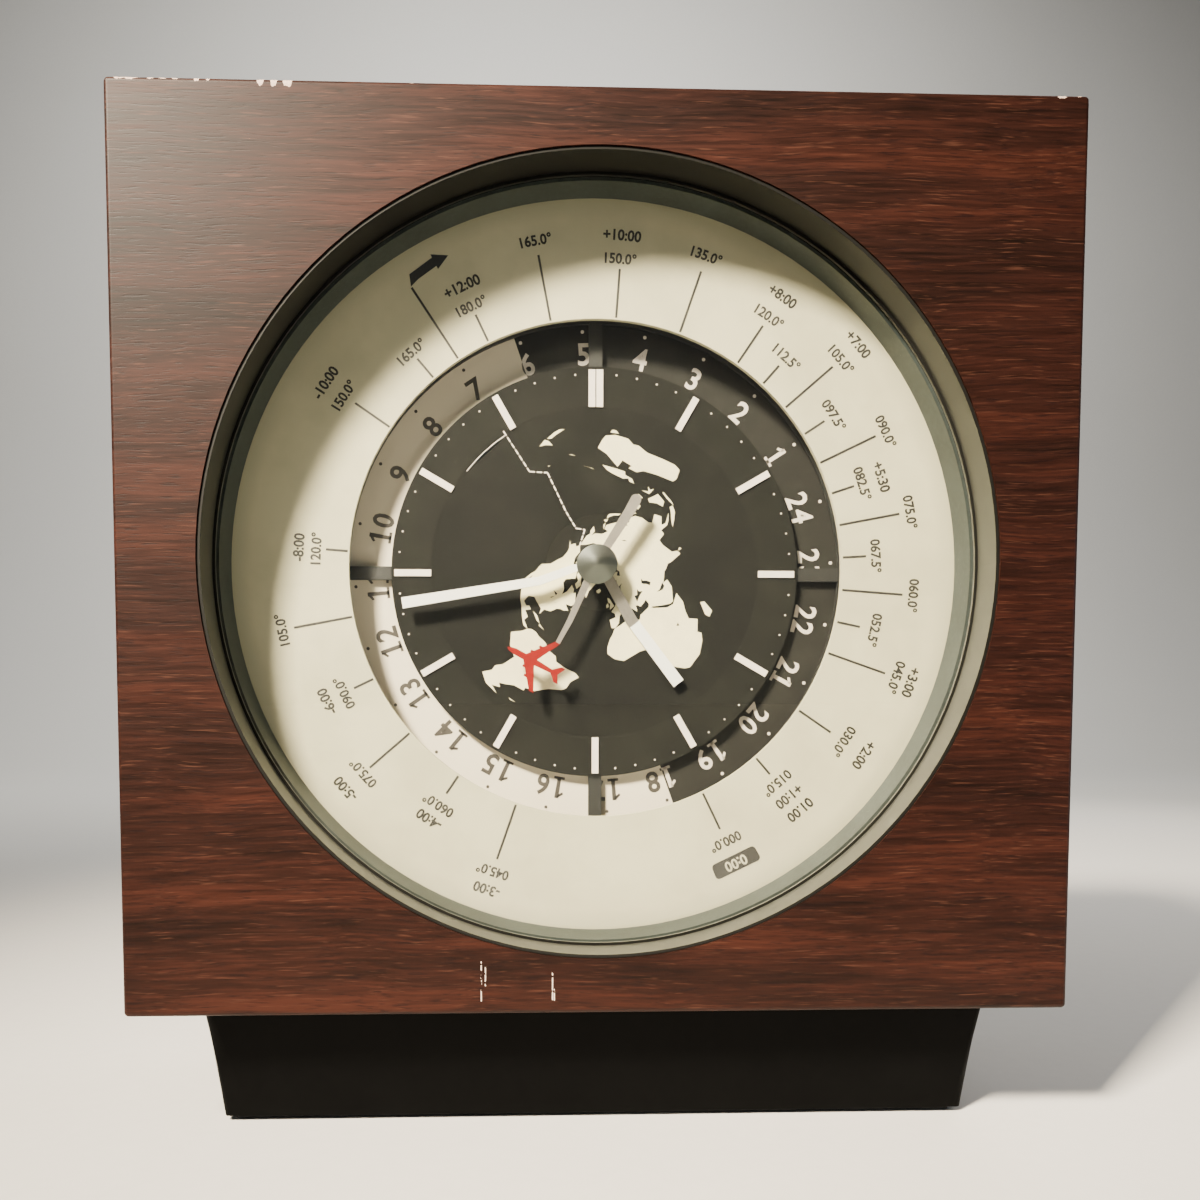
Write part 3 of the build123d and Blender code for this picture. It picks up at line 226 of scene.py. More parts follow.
def turned_finish(name, colour, line, depth, constants, painted_shade=None):
    """A lathe-turned metal: rings round the axis of the hands, a line width in millimetres apart, with
    optional painted shade.
    """
    material, tree, shader, place = start_material(name, constants)
    steps = add(tree, "Math", (from_axis(tree, place), 1 / (line * MM)), operation="MULTIPLY")
    rings = add(tree, "TexNoise", {"W": steps, "Scale": 1.0, "Detail": 2.0}, noise_dimensions="1D")
    stain = add(tree, "TexNoise", {"Vector": place, "Scale": 1 / (5 * MM), "Detail": 5.0})
    both = add(tree, "Math", (rings, stain), operation="MULTIPLY")
    tone = add(tree, "ValToRGB", (both,), stops=[(0.1, toned(colour, 0.7)), (0.42, colour)])
    if painted_shade:
        # Faces that look down, which stand in shade, and the thin front lip take the given dark colour:
        # painted shade.
        facing = add(tree, "SeparateXYZ", (place.node.outputs["Normal"],)).node.outputs
        unshaded = add(tree, "MapRange", (facing["Z"], -0.75, 0.1))
        inward = add(tree, "Math", (facing["Y"], -0.4), operation="GREATER_THAN")
        unshaded = add(tree, "Math", (unshaded, inward), operation="MULTIPLY")
        tone = add(tree, "Mix", {0: unshaded, COLOUR_A: painted_shade, COLOUR_B: tone}, **COLOUR_MIX)
    bump = add(tree, "Bump", {"Height": rings, "Strength": 0.5, "Distance": depth * MM})
    fill(tree, shader, {"Base Color": tone, "Normal": bump})
    return material


def rosewood(settings):
    """Rosewood veneer, sliced and satin lacquered."""
    # Fine dark lines lie along the grain over red-brown bands, and open pores leave short dull and pale
    # dashes. The thin lacquer gives a soft, wide highlight.
    material, tree, shader, place = start_material("Lacquered rosewood veneer", {
        "IOR": 1.5, "Specular IOR Level": 0.15, "Coat Weight": 0.02, "Coat Roughness": 0.36, "Coat IOR": 1.5,
    })
    # The grain runs from side to side on the front and from front to back on the sides.
    facing = add(tree, "SeparateXYZ", (place.node.outputs["Normal"],), out="X")
    on_side = add(tree, "Math", (facing,), operation="ABSOLUTE")
    on_side = add(tree, "Math", (on_side, 0.7), operation="GREATER_THAN")
    turned = add(tree, "Mapping", {"Vector": place, "Rotation": (0, 0, tau / 4)})
    along = add(tree, "Mix", {0: on_side, VECTOR_A: place, VECTOR_B: turned}, **VECTOR_MIX)
    sway = add(tree, "TexNoise", {"Vector": along, "Scale": 1 / (45 * MM), "Detail": 2.0}, out="Color")
    swayed = add(tree, "VectorMath", (sway, (0, 4 * MM, 4 * MM)), operation="MULTIPLY")
    grain = add(tree, "VectorMath", (along, swayed), operation="ADD")

    # Each row is a layer of the figure: its length along the grain, its width across and its detail.
    layers = []
    for length, width, detail in (
        (95 * MM, settings.band_width, 3.0), (settings.fibre_length, settings.fibre_width, 4.0),
        (4.5 * MM, 0.32 * MM, 2.0), (7.0 * MM, 0.30 * MM, 2.0),
    ):
        stretched = add(tree, "Mapping", {
            "Vector": grain, "Location": (len(layers), 0, 0), "Scale": (1 / length, 1 / width, 1 / width),
        })
        layers.append(add(tree, "TexNoise", {
            "Vector": stretched, "Scale": 1.0, "Detail": detail, "Roughness": 0.6,
        }))
    bands, fibres, pores, flecks = layers
    pores = add(tree, "MapRange", (pores, 0.56, 0.68))
    flecks = add(tree, "MapRange", (flecks, 0.60, 0.74))
    worn = wear_mask(tree, place, settings.wear_width)

    figure = add(tree, "Mix", {0: 0.45, FLOAT_A: bands, FLOAT_B: fibres})
    wood = add(tree, "ValToRGB", (figure,), stops=[
        (0.34, settings.dark_wood), (0.50, settings.mid_wood), (0.66, settings.light_wood),
    ])
    for mask, share, tint in (
        (pores, 0.7, "120605"), (flecks, 0.35, "5E3C2E"), (worn, 1.0, "D9BFAE"),
        (scratch_mask(tree, place), 1.0, "E6D3C6"),
    ):
        cover = add(tree, "Math", (mask, share), operation="MULTIPLY")
        wood = add(tree, "Mix", {0: cover, COLOUR_A: wood, COLOUR_B: linear(tint)}, **COLOUR_MIX)

    rough = add(tree, "MapRange", (fibres, 0.3, 0.7, 0.42, 0.52))
    relief = add(tree, "Math", (fibres, pores), operation="SUBTRACT")
    relief = add(tree, "Math", (relief, worn), operation="SUBTRACT")
    bump = add(tree, "Bump", {"Height": relief, "Strength": 0.2, "Distance": 0.04 * MM})
    fill(tree, shader, {"Base Color": wood, "Roughness": rough, "Normal": bump})
    return material


def wear_mask(tree, place, width):
    """Where the lacquer and the veneer are chipped off along the upper front edge of the case."""
    edge = add(tree, "Mapping", {"Vector": place, "Location": (0, -case_low.y, -case_high.z)})
    edge = add(tree, "VectorMath", (edge, (0, 1, 1)), operation="MULTIPLY")
    away = add(tree, "VectorMath", (edge,), out="Value", operation="LENGTH")
    along = add(tree, "SeparateXYZ", (place,), out="X")
    # Each row is a chip: its middle from the dial's axis, half its length, and its share of the full depth.
    chips = (
        (-76.4, 2.9, 0.55), (-71.6, 2.3, 0.45), (-68.6, 0.9, 0.4), (-65.2, 0.5, 0.8), (-63.4, 0.35, 0.5),
        (-55.1, 0.6, 1.4), (-53.0, 0.6, 1.2), (-50.8, 0.8, 1.6), (-31.0, 0.5, 0.4), (12.0, 0.35, 0.3),
        (75.3, 0.9, 0.7), (78.2, 0.6, 0.5),
    )
    reach = 0.0
    for across, half_length, depth in chips:
        # One less the fourth power of the distance from its middle gives a chip its blunt arch.
        arch = add(tree, "Math", (along, CENTRE.x + across * MM), operation="SUBTRACT")
        arch = add(tree, "Math", (arch, 1 / (half_length * MM)), operation="MULTIPLY")
        for _ in range(2):
            arch = add(tree, "Math", (arch, arch), operation="MULTIPLY")
        arch = add(tree, "Math", (arch, -depth * width, depth * width), operation="MULTIPLY_ADD")
        reach = add(tree, "Math", (reach, arch), operation="MAXIMUM")
    ragged = add(tree, "TexNoise", {"Vector": place, "Scale": 1 / (0.9 * MM), "Detail": 4.0})
    ragged = add(tree, "MapRange", (ragged, 0.3, 0.7, 0.5, 1.2))
    reach = add(tree, "Math", (reach, ragged), operation="MULTIPLY")
    worn = add(tree, "Math", (reach, away), operation="GREATER_THAN")
    return add(tree, "Math", (worn, 0.8), operation="MULTIPLY")


def scratch_mask(tree, place):
    """Short upright scratches in the lacquer below the dial, broken up along their length."""
    parts = add(tree, "SeparateXYZ", (place,)).node.outputs
    # Each row is a scratch: its place across and up from the axis, and half its length.
    scratches = ((-20.4, -70.4, 3.4), (-19.7, -69.6, 1.6), (-8.4, -71.4, 2.6), (-8.1, -72.8, 1.0))
    half_width = 0.09 * MM
    total = 0.0
    for across, up, half_length in scratches:
        near_x = add(tree, "Math", (parts["X"], CENTRE.x + across * MM, half_width), operation="COMPARE")
        near_z = add(tree, "Math", (parts["Z"], CENTRE.z + up * MM, half_length * MM),
                     operation="COMPARE")
        both = add(tree, "Math", (near_x, near_z), operation="MULTIPLY")
        total = add(tree, "Math", (total, both), operation="MAXIMUM")
    front = add(tree, "Math", (parts["Y"], case_low.y + 0.2 * MM), operation="LESS_THAN")
    broken = add(tree, "TexNoise", {"Vector": place, "Scale": 1 / (1.1 * MM), "Detail": 3.0})
    broken = add(tree, "Math", (broken, 0.5), operation="GREATER_THAN")
    for mask in (front, broken):
        total = add(tree, "Math", (total, mask), operation="MULTIPLY")
    return total


def clear_glass():
    """Soda-lime clock glass, pressed to a shallow dome and polished."""
    # It is clear, with a faint green cast and thin smears that dull its reflection.
    material, tree, shader, place = start_material("Domed clock glass", {
        "Base Color": linear("F6FAF4"), "IOR": 1.5, "Transmission Weight": 1.0,
    })
    smear = add(tree, "TexNoise", {"Vector": place, "Scale": 1 / (24 * MM), "Detail": 5.0, "Distortion": 1.5})
    rough = add(tree, "MapRange", (smear, 0.45, 0.75, 0.0, 0.045))
    fill(tree, shader, {"Roughness": rough})
    return material


def ivory_paint(settings):
    """Matt dial paint, sprayed on thin metal: dust-fine grain, and patches that grow darker towards the outer
    rim.
    """
    material, tree, shader, place = start_material("Ivory dial paint", {"Roughness": 0.55, "IOR": 1.48})
    # The last 5 mm towards the outer rim are mixed in patches towards a dark olive grey.
    rim = add(tree, "MapRange", {
        0: from_axis(tree, place), 1: CITY_RADIUS - 5 * MM, 2: CITY_RADIUS, 3: 0.0, 4: 0.9,
    })
    cloud = add(tree, "TexNoise", {"Vector": place, "Scale": 1 / (14 * MM), "Detail": 6.0, "Roughness": 0.65})
    dust = add(tree, "TexNoise", {"Vector": place, "Scale": 1 / (0.5 * MM), "Detail": 3.0})
    rim_darkening = add(tree, "Math", (rim, cloud), operation="MULTIPLY")
    tone = add(tree, "ValToRGB", (cloud,), stops=[(0.35, toned(settings.ivory, 0.86)), (0.6, settings.ivory)])
    tone = add(tree, "Mix", {0: rim_darkening, COLOUR_A: tone, COLOUR_B: linear("6B6654")}, **COLOUR_MIX)
    bump = add(tree, "Bump", {"Height": dust, "Strength": 0.3, "Distance": 0.02 * MM})
    fill(tree, shader, {"Base Color": tone, "Normal": bump})
    return material


def chart_ground(settings):
    """Charcoal dial paint with a slightly darker chart disc inside the band of the hour marks."""
    material, tree, shader, place = start_material("Charcoal chart paint", {
        "Roughness": 0.75, "Specular IOR Level": 0.12,
    })
    step = 0.5 * MM
    outside = add(tree, "MapRange", (from_axis(tree, place), CHART_RADIUS, CHART_RADIUS + step))
    cloud = add(tree, "TexNoise", {"Vector": place, "Scale": 1 / (9 * MM), "Detail": 6.0, "Roughness": 0.7})
    cloud = add(tree, "MapRange", (cloud, 0.45, 0.8, 0.0, 0.3))
    inner = toned(settings.charcoal, 0.72)
    tone = add(tree, "Mix", {0: outside, COLOUR_A: inner, COLOUR_B: settings.charcoal}, **COLOUR_MIX)
    tone = add(tree, "Mix", {0: cloud, COLOUR_A: tone, COLOUR_B: linear("2E2E28")}, **COLOUR_MIX)
    bump = add(tree, "Bump", {"Height": outside, "Strength": 0.5, "Distance": 0.05 * MM})
    fill(tree, shader, {"Base Color": tone, "Normal": bump})
    return material


def day_side(tree, place):
    """One on the day half of the turning ring and nought on the night half."""
    centred = add(tree, "Mapping", {"Vector": place, "Location": -CENTRE})
    middle = (sin(radians(DAY_MIDDLE_ANGLE)), 0, cos(radians(DAY_MIDDLE_ANGLE)))
    towards = add(tree, "VectorMath", (centred, middle), out="Value", operation="DOT_PRODUCT")
    return add(tree, "Math", (towards, 0.0), operation="GREATER_THAN")


def ring_ink(settings):
    """Screen-printing ink in two colours: dark on the day half and white on the night half."""
    material, tree, shader, place = start_material("Two-colour ring ink", {"Roughness": 0.6, "IOR": 1.48})
    grain = add(tree, "TexNoise", {"Vector": place, "Scale": 1 / (0.25 * MM), "Detail": 3.0})
    tone = add(tree, "Mix", {0: grain, COLOUR_A: settings.figures, COLOUR_B: linear("C9BFB2")}, **COLOUR_MIX)
    is_day = day_side(tree, place)
    tone = add(tree, "Mix", {0: is_day, COLOUR_A: tone, COLOUR_B: linear("3A352F")}, **COLOUR_MIX)
    fill(tree, shader, {"Base Color": tone})
    return material


def two_halves(settings):
    """Printed plastic sheet: the day half light, the night half dark, split on a straight line."""
    material, tree, shader, place = start_material("Printed day and night sheet", {
        "Roughness": 0.6, "Specular IOR Level": 0.25,
    })
    cloud = add(tree, "TexNoise", {"Vector": place, "Scale": 1 / (6 * MM), "Detail": 6.0, "Roughness": 0.7})
    faded = add(tree, "MapRange", (cloud, 0.4, 0.75, 0.0, 0.25))
    night = add(tree, "Mix", {0: faded, COLOUR_A: settings.night, COLOUR_B: linear("3A3933")}, **COLOUR_MIX)
    day = add(tree, "Mix", {0: faded, COLOUR_A: settings.day, COLOUR_B: linear("CDBDAE")}, **COLOUR_MIX)
    tone = add(tree, "Mix", {0: day_side(tree, place), COLOUR_A: night, COLOUR_B: day}, **COLOUR_MIX)
    fill(tree, shader, {"Base Color": tone})
    return material


def two_tone_hand(settings):
    """Pressed aluminium hand: bare satin metal near the axis and white paint further out."""
    material, tree, shader, place = start_material("Aluminium hand with white paint", {
        "Roughness": 0.38, "IOR": 1.5,
    })
    painted = add(tree, "Math", (from_axis(tree, place), settings.white_start), operation="GREATER_THAN")
    grain = add(tree, "TexNoise", {"Vector": place, "Scale": 1 / (0.6 * MM), "Detail": 3.0})
    tone = add(tree, "Mix", {0: grain, COLOUR_A: linear("8C867E"), COLOUR_B: settings.silver}, **COLOUR_MIX)
    tone = add(tree, "Mix", {0: painted, COLOUR_A: tone, COLOUR_B: settings.white}, **COLOUR_MIX)
    metal = add(tree, "MapRange", (painted, 0.0, 1.0, 0.75, 0.0))
    fill(tree, shader, {"Base Color": tone, "Metallic": metal})
    return material


def ink(name, colour):
    """Screen-printing ink: an even matt film with a slightly broken surface."""
    return even_finish(name, colour, 0.25, 0.01, {"Roughness": 0.6, "IOR": 1.48}, shade=0.1, patch=4.0)


def zinc_steel():
    """Zinc-plated steel: grey, slightly cloudy metal."""
    name = "Zinc-plated steel"
    return bpy.data.materials.get(name) or even_finish(
        name, linear("B4B6B2"), 0.4, 0.01, {"Roughness": 0.34, "Metallic": 1.0}, shade=0.12, patch=2.0)


def flat_mesh(curve):
    """The filled shape of a flat curve or text as a mesh in the XY plane, in millimetres."""
    holder = bpy.data.objects.new("template", curve)
    mesh = bpy.data.meshes.new_from_object(holder)
    bpy.data.objects.remove(holder)
    bpy.data.curves.remove(curve)
    return mesh


def figure_mesh(text, height, lift, weight):
    """Plain figures as a thin solid, centred on the origin, with this height in millimetres."""
    curve = bpy.data.curves.new("figures", "FONT")
    curve.body = text
    curve.size = 10
    curve.offset = weight
    curve.resolution_u = 3
    curve.extrude = lift / 2
    mesh = flat_mesh(curve)
    across = [vert.co.x for vert in mesh.vertices]
    upward = [vert.co.y for vert in mesh.vertices]
    middle = Vector(((min(across) + max(across)) / 2, (min(upward) + max(upward)) / 2, 0))
    scale = height / (max(upward) - min(upward))
    narrow = 0.94
    mesh.transform(Matrix.Diagonal((scale * narrow, scale, 1, 1)) @ Matrix.Translation(-middle))
    return mesh


def outline_mesh(outlines, lift, scale=1.0):
    """Closed outlines in millimetres as one thin solid; an outline inside another is a hole."""
    curve = bpy.data.curves.new("outline", "CURVE")
    curve.dimensions = "2D"
    curve.fill_mode = "BOTH"
    curve.extrude = lift / 2
    for outline in outlines:
        spline = curve.splines.new("POLY")
        spline.points.add(len(outline) - 1)
        for point, (across, upward) in zip(spline.points, outline):
            point.co = (across * scale, upward * scale, 0, 1)
        spline.use_cyclic_u = True
    return flat_mesh(curve)


def as_mesh(work, name):
    """Turns a bmesh into a mesh."""
    mesh = bpy.data.meshes.new(name)
    work.to_mesh(mesh)
    work.free()
    return mesh


def bar_mesh(inner, outer, width, lift):
    """A thin bar along the radius, from one distance from the axis to another, drawn at twelve o'clock."""
    bar = bmesh.new()
    size = Matrix.Diagonal((width, outer - inner, lift, 1))
    bmesh.ops.create_cube(bar, size=1, matrix=Matrix.Translation((0, (inner + outer) / 2, 0)) @ size)
    return as_mesh(bar, "bar")


def dot_mesh(diameter, lift):
    """A thin round dot centred on the origin."""
    dot = bmesh.new()
    radius = diameter / 2
    bmesh.ops.create_cone(dot, cap_ends=True, segments=12, radius1=radius, radius2=radius, depth=lift)
    return as_mesh(dot, "dot")


def hour_figures(hour, height, lift):
    """The figures of an hour, set one by one so that each 1 gets a short foot and a flag."""
    pitch = 0.72 * height
    foot = [(-0.26, -0.5), (0.26, -0.5), (0.26, -0.38), (-0.26, -0.38)]
    flag = [(-0.24, 0.2), (-0.03, 0.34), (-0.03, 0.5), (-0.28, 0.3)]
    digits = str(hour)
    work = bmesh.new()
    for place, digit in enumerate(digits):
        parts = [figure_mesh(digit, height, lift, weight=0.2)]
        if digit == "1":
            parts += [outline_mesh([shape], lift, scale=height) for shape in (foot, flag)]
        shift = Matrix.Translation(((place - (len(digits) - 1) / 2) * pitch, 0, 0))
        for part in parts:
            part.transform(shift)
            work.from_mesh(part)
            bpy.data.meshes.remove(part)
    return as_mesh(work, "hour")


def gather(target, mesh, place):
    """Adds a flat mesh to a bmesh, with each point moved by place(across, out, lift)."""
    first = len(target.verts)
    target.from_mesh(mesh)
    target.verts.ensure_lookup_table()
    for vert in target.verts[first:]:
        vert.co = place(*vert.co)
    bpy.data.meshes.remove(mesh)


def bent(angle, radius, front):
    """Bends flat work round the dial: across runs clockwise on the circle and out points away from it."""
    def place(across, out, lift):
        turn = radians(angle) + across / radius
        reach = (radius + out) * MM
        return Vector((CENTRE.x + reach * sin(turn), front - lift * MM, CENTRE.z + reach * cos(turn)))
    return place


def laid(front, angle=0.0):
    """Lays flat work on the dial as it is drawn round the axis, turned clockwise by an angle."""
    turn = Matrix.Rotation(radians(angle), 3, "Y")

    def place(across, out, lift):
        return Vector((CENTRE.x, front - lift * MM, CENTRE.z)) + turn @ Vector((across, 0, out)) * MM
    return place


def finish_piece(name, work, body, material):
    """Turns a bmesh into a piece at the origin that rides on a body."""
    bmesh.ops.remove_doubles(work, verts=work.verts, dist=0.0005 * MM)
    bmesh.ops.recalc_face_normals(work, faces=work.faces)
    mesh = as_mesh(work, name)
    mesh.materials.append(material)
    piece = bpy.data.objects.new(name, mesh)
    bpy.context.scene.collection.objects.link(piece)
    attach(piece, body)


# Each row is a zone: hours east of Greenwich, the outer end of its line in millimetres from the axis,
# and the distances of its rows of figures.
ZONES = (
    (12, 49.2, (50.9, 54.6)), (11, 55.6, (58.2,)), (10, 52.6, (54.4, 58.4)), (9, 55.3, (58.2,)),
    (8, 52.0, (54.0, 58.2)), (7.5, 48.4, (50.4,)), (7, 55.2, (57.2, 61.2)), (6.5, 48.4, (50.4,)),
    (6, 55.2, (57.2,)), (5.5, 48.4, (50.0, 53.6)), (5, 55.2, (57.2,)), (4.5, 48.4, (50.2,)),
    (4, 55.2, (57.2,)), (3.5, 48.4, (51.2,)), (3, 55.2, (57.4, 60.2)), (2, 51.2, (54.2, 58.6)),
    (1, 48.0, (50.2, 53.4, 56.6)), (0, 51.4, (54.0,)), (-3, 54.6, (57.0, 60.4)), (-4, 48.0, (50.6, 53.6)),
    (-5, 53.6, (55.2, 59.4)), (-6, 48.0, (50.0, 53.4)), (-7, 54.6, (56.8,)), (-8, 48.0, (49.8, 52.8)),
    (-10, 51.4, (53.8, 57.6)), (-11, 48.4, (50.0,)),
)
# The line of the change of date, its outer end, and the distance of the label at zero.
DATE_LINE_ANGLE = 326.3
DATE_LINE_END = 58.6
LABEL_RADIUS = 58.3


def zone_text(hours, row):
    """The figures beside a zone's line: its meridian in degrees or its time difference."""
    whole, part = divmod(abs(hours), 1)
    sign = "-" if hours < 0 else "+"
    difference = f"{sign}{int(whole)}:{int(part * 60):02d}"
    meridian = f"{abs(hours) * HOUR_STEP:05.1f}°"
    return (meridian, difference, f"{int(whole):02d}.{int(part * 60):02d}")[row % 3]


# Coast lines as (longitude, latitude) in degrees.
AMERICA_NORTH = (
    (-168, 66), (-156, 71), (-135, 69.5), (-120, 69.5), (-108, 68), (-96, 68), (-94, 71.5), (-85, 69),
    (-82, 67), (-88, 64.5), (-94, 60), (-92, 57), (-83, 55), (-80, 51.5), (-77, 56), (-78, 62), (-70, 61),
    (-67, 58.5), (-64, 60), (-57, 53), (-60, 50), (-68, 48.5), (-64.5, 47), (-61, 45.8), (-66, 43.7),
    (-70, 43), (-74, 40.5), (-76, 35.3), (-81, 31.5), (-80.3, 25.5), (-83, 29.5), (-90, 29.3), (-95, 29),
    (-97.5, 24), (-95, 18.5), (-91, 18.7), (-90, 21.2), (-87, 21), (-88.5, 16), (-83.5, 15), (-83, 10.5),
    (-79.5, 9.5), (-77, 8.2), (-80.5, 7.3), (-85.5, 10.5), (-92, 14.5), (-97, 15.8), (-105.5, 20),
    (-107, 24), (-112.5, 30), (-114.5, 31.5), (-110, 24), (-112, 24.5), (-115.5, 29.5), (-118, 33.8),
    (-122.5, 37.2), (-124.3, 42), (-124.3, 48), (-129, 53), (-134, 58), (-145, 60.2), (-152, 59.5),
    (-163, 54.8), (-158, 58.5), (-165, 61.5), (-161, 64.3),
)
AMERICA_SOUTH = (
    (-77, 8), (-75, 11), (-71.5, 12.2), (-68, 11), (-62, 10.6), (-57, 6), (-51.5, 4.5), (-50, 0),
    (-44, -2.5), (-37, -4.7), (-34.9, -8), (-39, -14), (-40, -20), (-42, -23), (-48, -26), (-53.5, -33.7),
    (-57.5, -35), (-57.5, -38), (-62, -39), (-65, -43), (-67.5, -46), (-66, -48.5), (-69, -52),
    (-65.5, -55), (-71, -54.5), (-75, -50), (-73, -42), (-73.5, -37), (-71.5, -31), (-70.2, -18.5),
    (-76, -14), (-81.2, -6), (-80, -2), (-78.5, 1.5), (-77.5, 5),
)
AFRICA = (
    (32.3, 31.2), (32.6, 29.9), (34, 27), (37, 21), (39.5, 15.5), (43.2, 11.7), (51, 11.8), (47, 4),
    (42, -1.5), (39, -7), (40.7, -15), (35, -20), (35.5, -24), (32.5, -28.5), (27, -33.6), (20, -34.8),
    (18, -32), (14.5, -23), (11.8, -17), (13.5, -9), (9, -1), (9.5, 4), (4.5, 6.3), (-7.5, 4.4),
    (-13, 8.5), (-17, 14.5), (-16.5, 20), (-13, 27.5), (-9.8, 31), (-6, 35.8), (1, 36.6), (10.5, 37.2),
    (11, 33.8), (19, 30.3), (22, 32.8),
)
EURASIA = (
    (32.3, 31.2), (34.7, 32), (36, 36.3), (31, 36.6), (27.5, 37), (26.2, 39.5), (24, 40.8), (23, 38),
    (21.5, 36.8), (19.5, 41), (13.8, 45.3), (12.5, 44), (18.3, 40), (16, 38.2), (12, 41.8), (8.8, 44.4),
    (3.2, 43), (-0.5, 38.5), (-5.6, 36.1), (-9, 37.2), (-9, 43.2), (-1.6, 43.4), (-1.3, 46), (-4.7, 48.3),
    (1.8, 50.5), (8.5, 54), (8.2, 57), (10.5, 57.5), (10.5, 54.2), (19.5, 54.6), (21, 57.5), (23.5, 59.2),
    (30, 60), (22.5, 60.2), (21.5, 62), (25.3, 65), (22, 65.8), (17.3, 61.5), (18.5, 60), (16.5, 57),
    (12.5, 56.3), (11, 59), (8, 58.1), (5.2, 62), (12, 66), (17, 69), (25.5, 71), (41, 67.5), (33, 66.7),
    (37, 64.3), (44, 66.2), (44, 68.5), (60.5, 69.8), (67, 69), (69, 73), (73, 71.5), (77.5, 72), (87, 75),
    (104, 77.6), (113, 74), (127, 73), (140, 72.6), (160, 69.7), (170, 70), (180, 69), (190, 66),
    (179.5, 63.5), (170, 60), (163.3, 59), (162.5, 56), (156.8, 51), (155.7, 56.7), (162.5, 61),
    (155, 59.3), (143, 59.3), (135.3, 54.7), (141, 53), (140.3, 48.5), (132, 43.2), (127.5, 39.3),
    (129.4, 36.5), (126.3, 34.6), (125, 38), (121.5, 39), (122, 40.6), (117.8, 39), (122.5, 37.2),
    (119.3, 35), (121.8, 31), (119.5, 25.5), (114, 22.3), (108.3, 21.5), (106, 19), (109.2, 12), (105, 8.7),
    (100.5, 13.4), (99.8, 9.5), (103.8, 1.4), (100.4, 5.5), (98.3, 9), (97.6, 16.5), (94.3, 16),
    (91.8, 22.5), (87, 21.4), (80.3, 15.5), (79.9, 10.3), (77.5, 8.1), (72.8, 19), (72.5, 21.3),
    (68.5, 23.5), (66.5, 25.2), (57.2, 25.7), (56.3, 27.1), (51, 28), (48, 30), (50.2, 26.5), (51.5, 25),
    (54.5, 24.2), (56.4, 26.2), (59.8, 22.5), (55, 17.5), (45, 12.8), (42.8, 14.5), (39, 21.3), (35, 28),
    (34.8, 29.4), (34.2, 27.8), (32.6, 29.9),
)
BLACK_SEA = ((28, 41.5), (35, 42.3), (41, 41.6), (38, 44.5), (39, 47), (33.5, 44.5), (30.5, 46))
CASPIAN_SEA = (
    (49.5, 40.5), (50, 37.2), (53.5, 37.2), (53, 41), (51, 44.5), (52.5, 46.5), (47.5, 45.2), (47.8, 43),
)
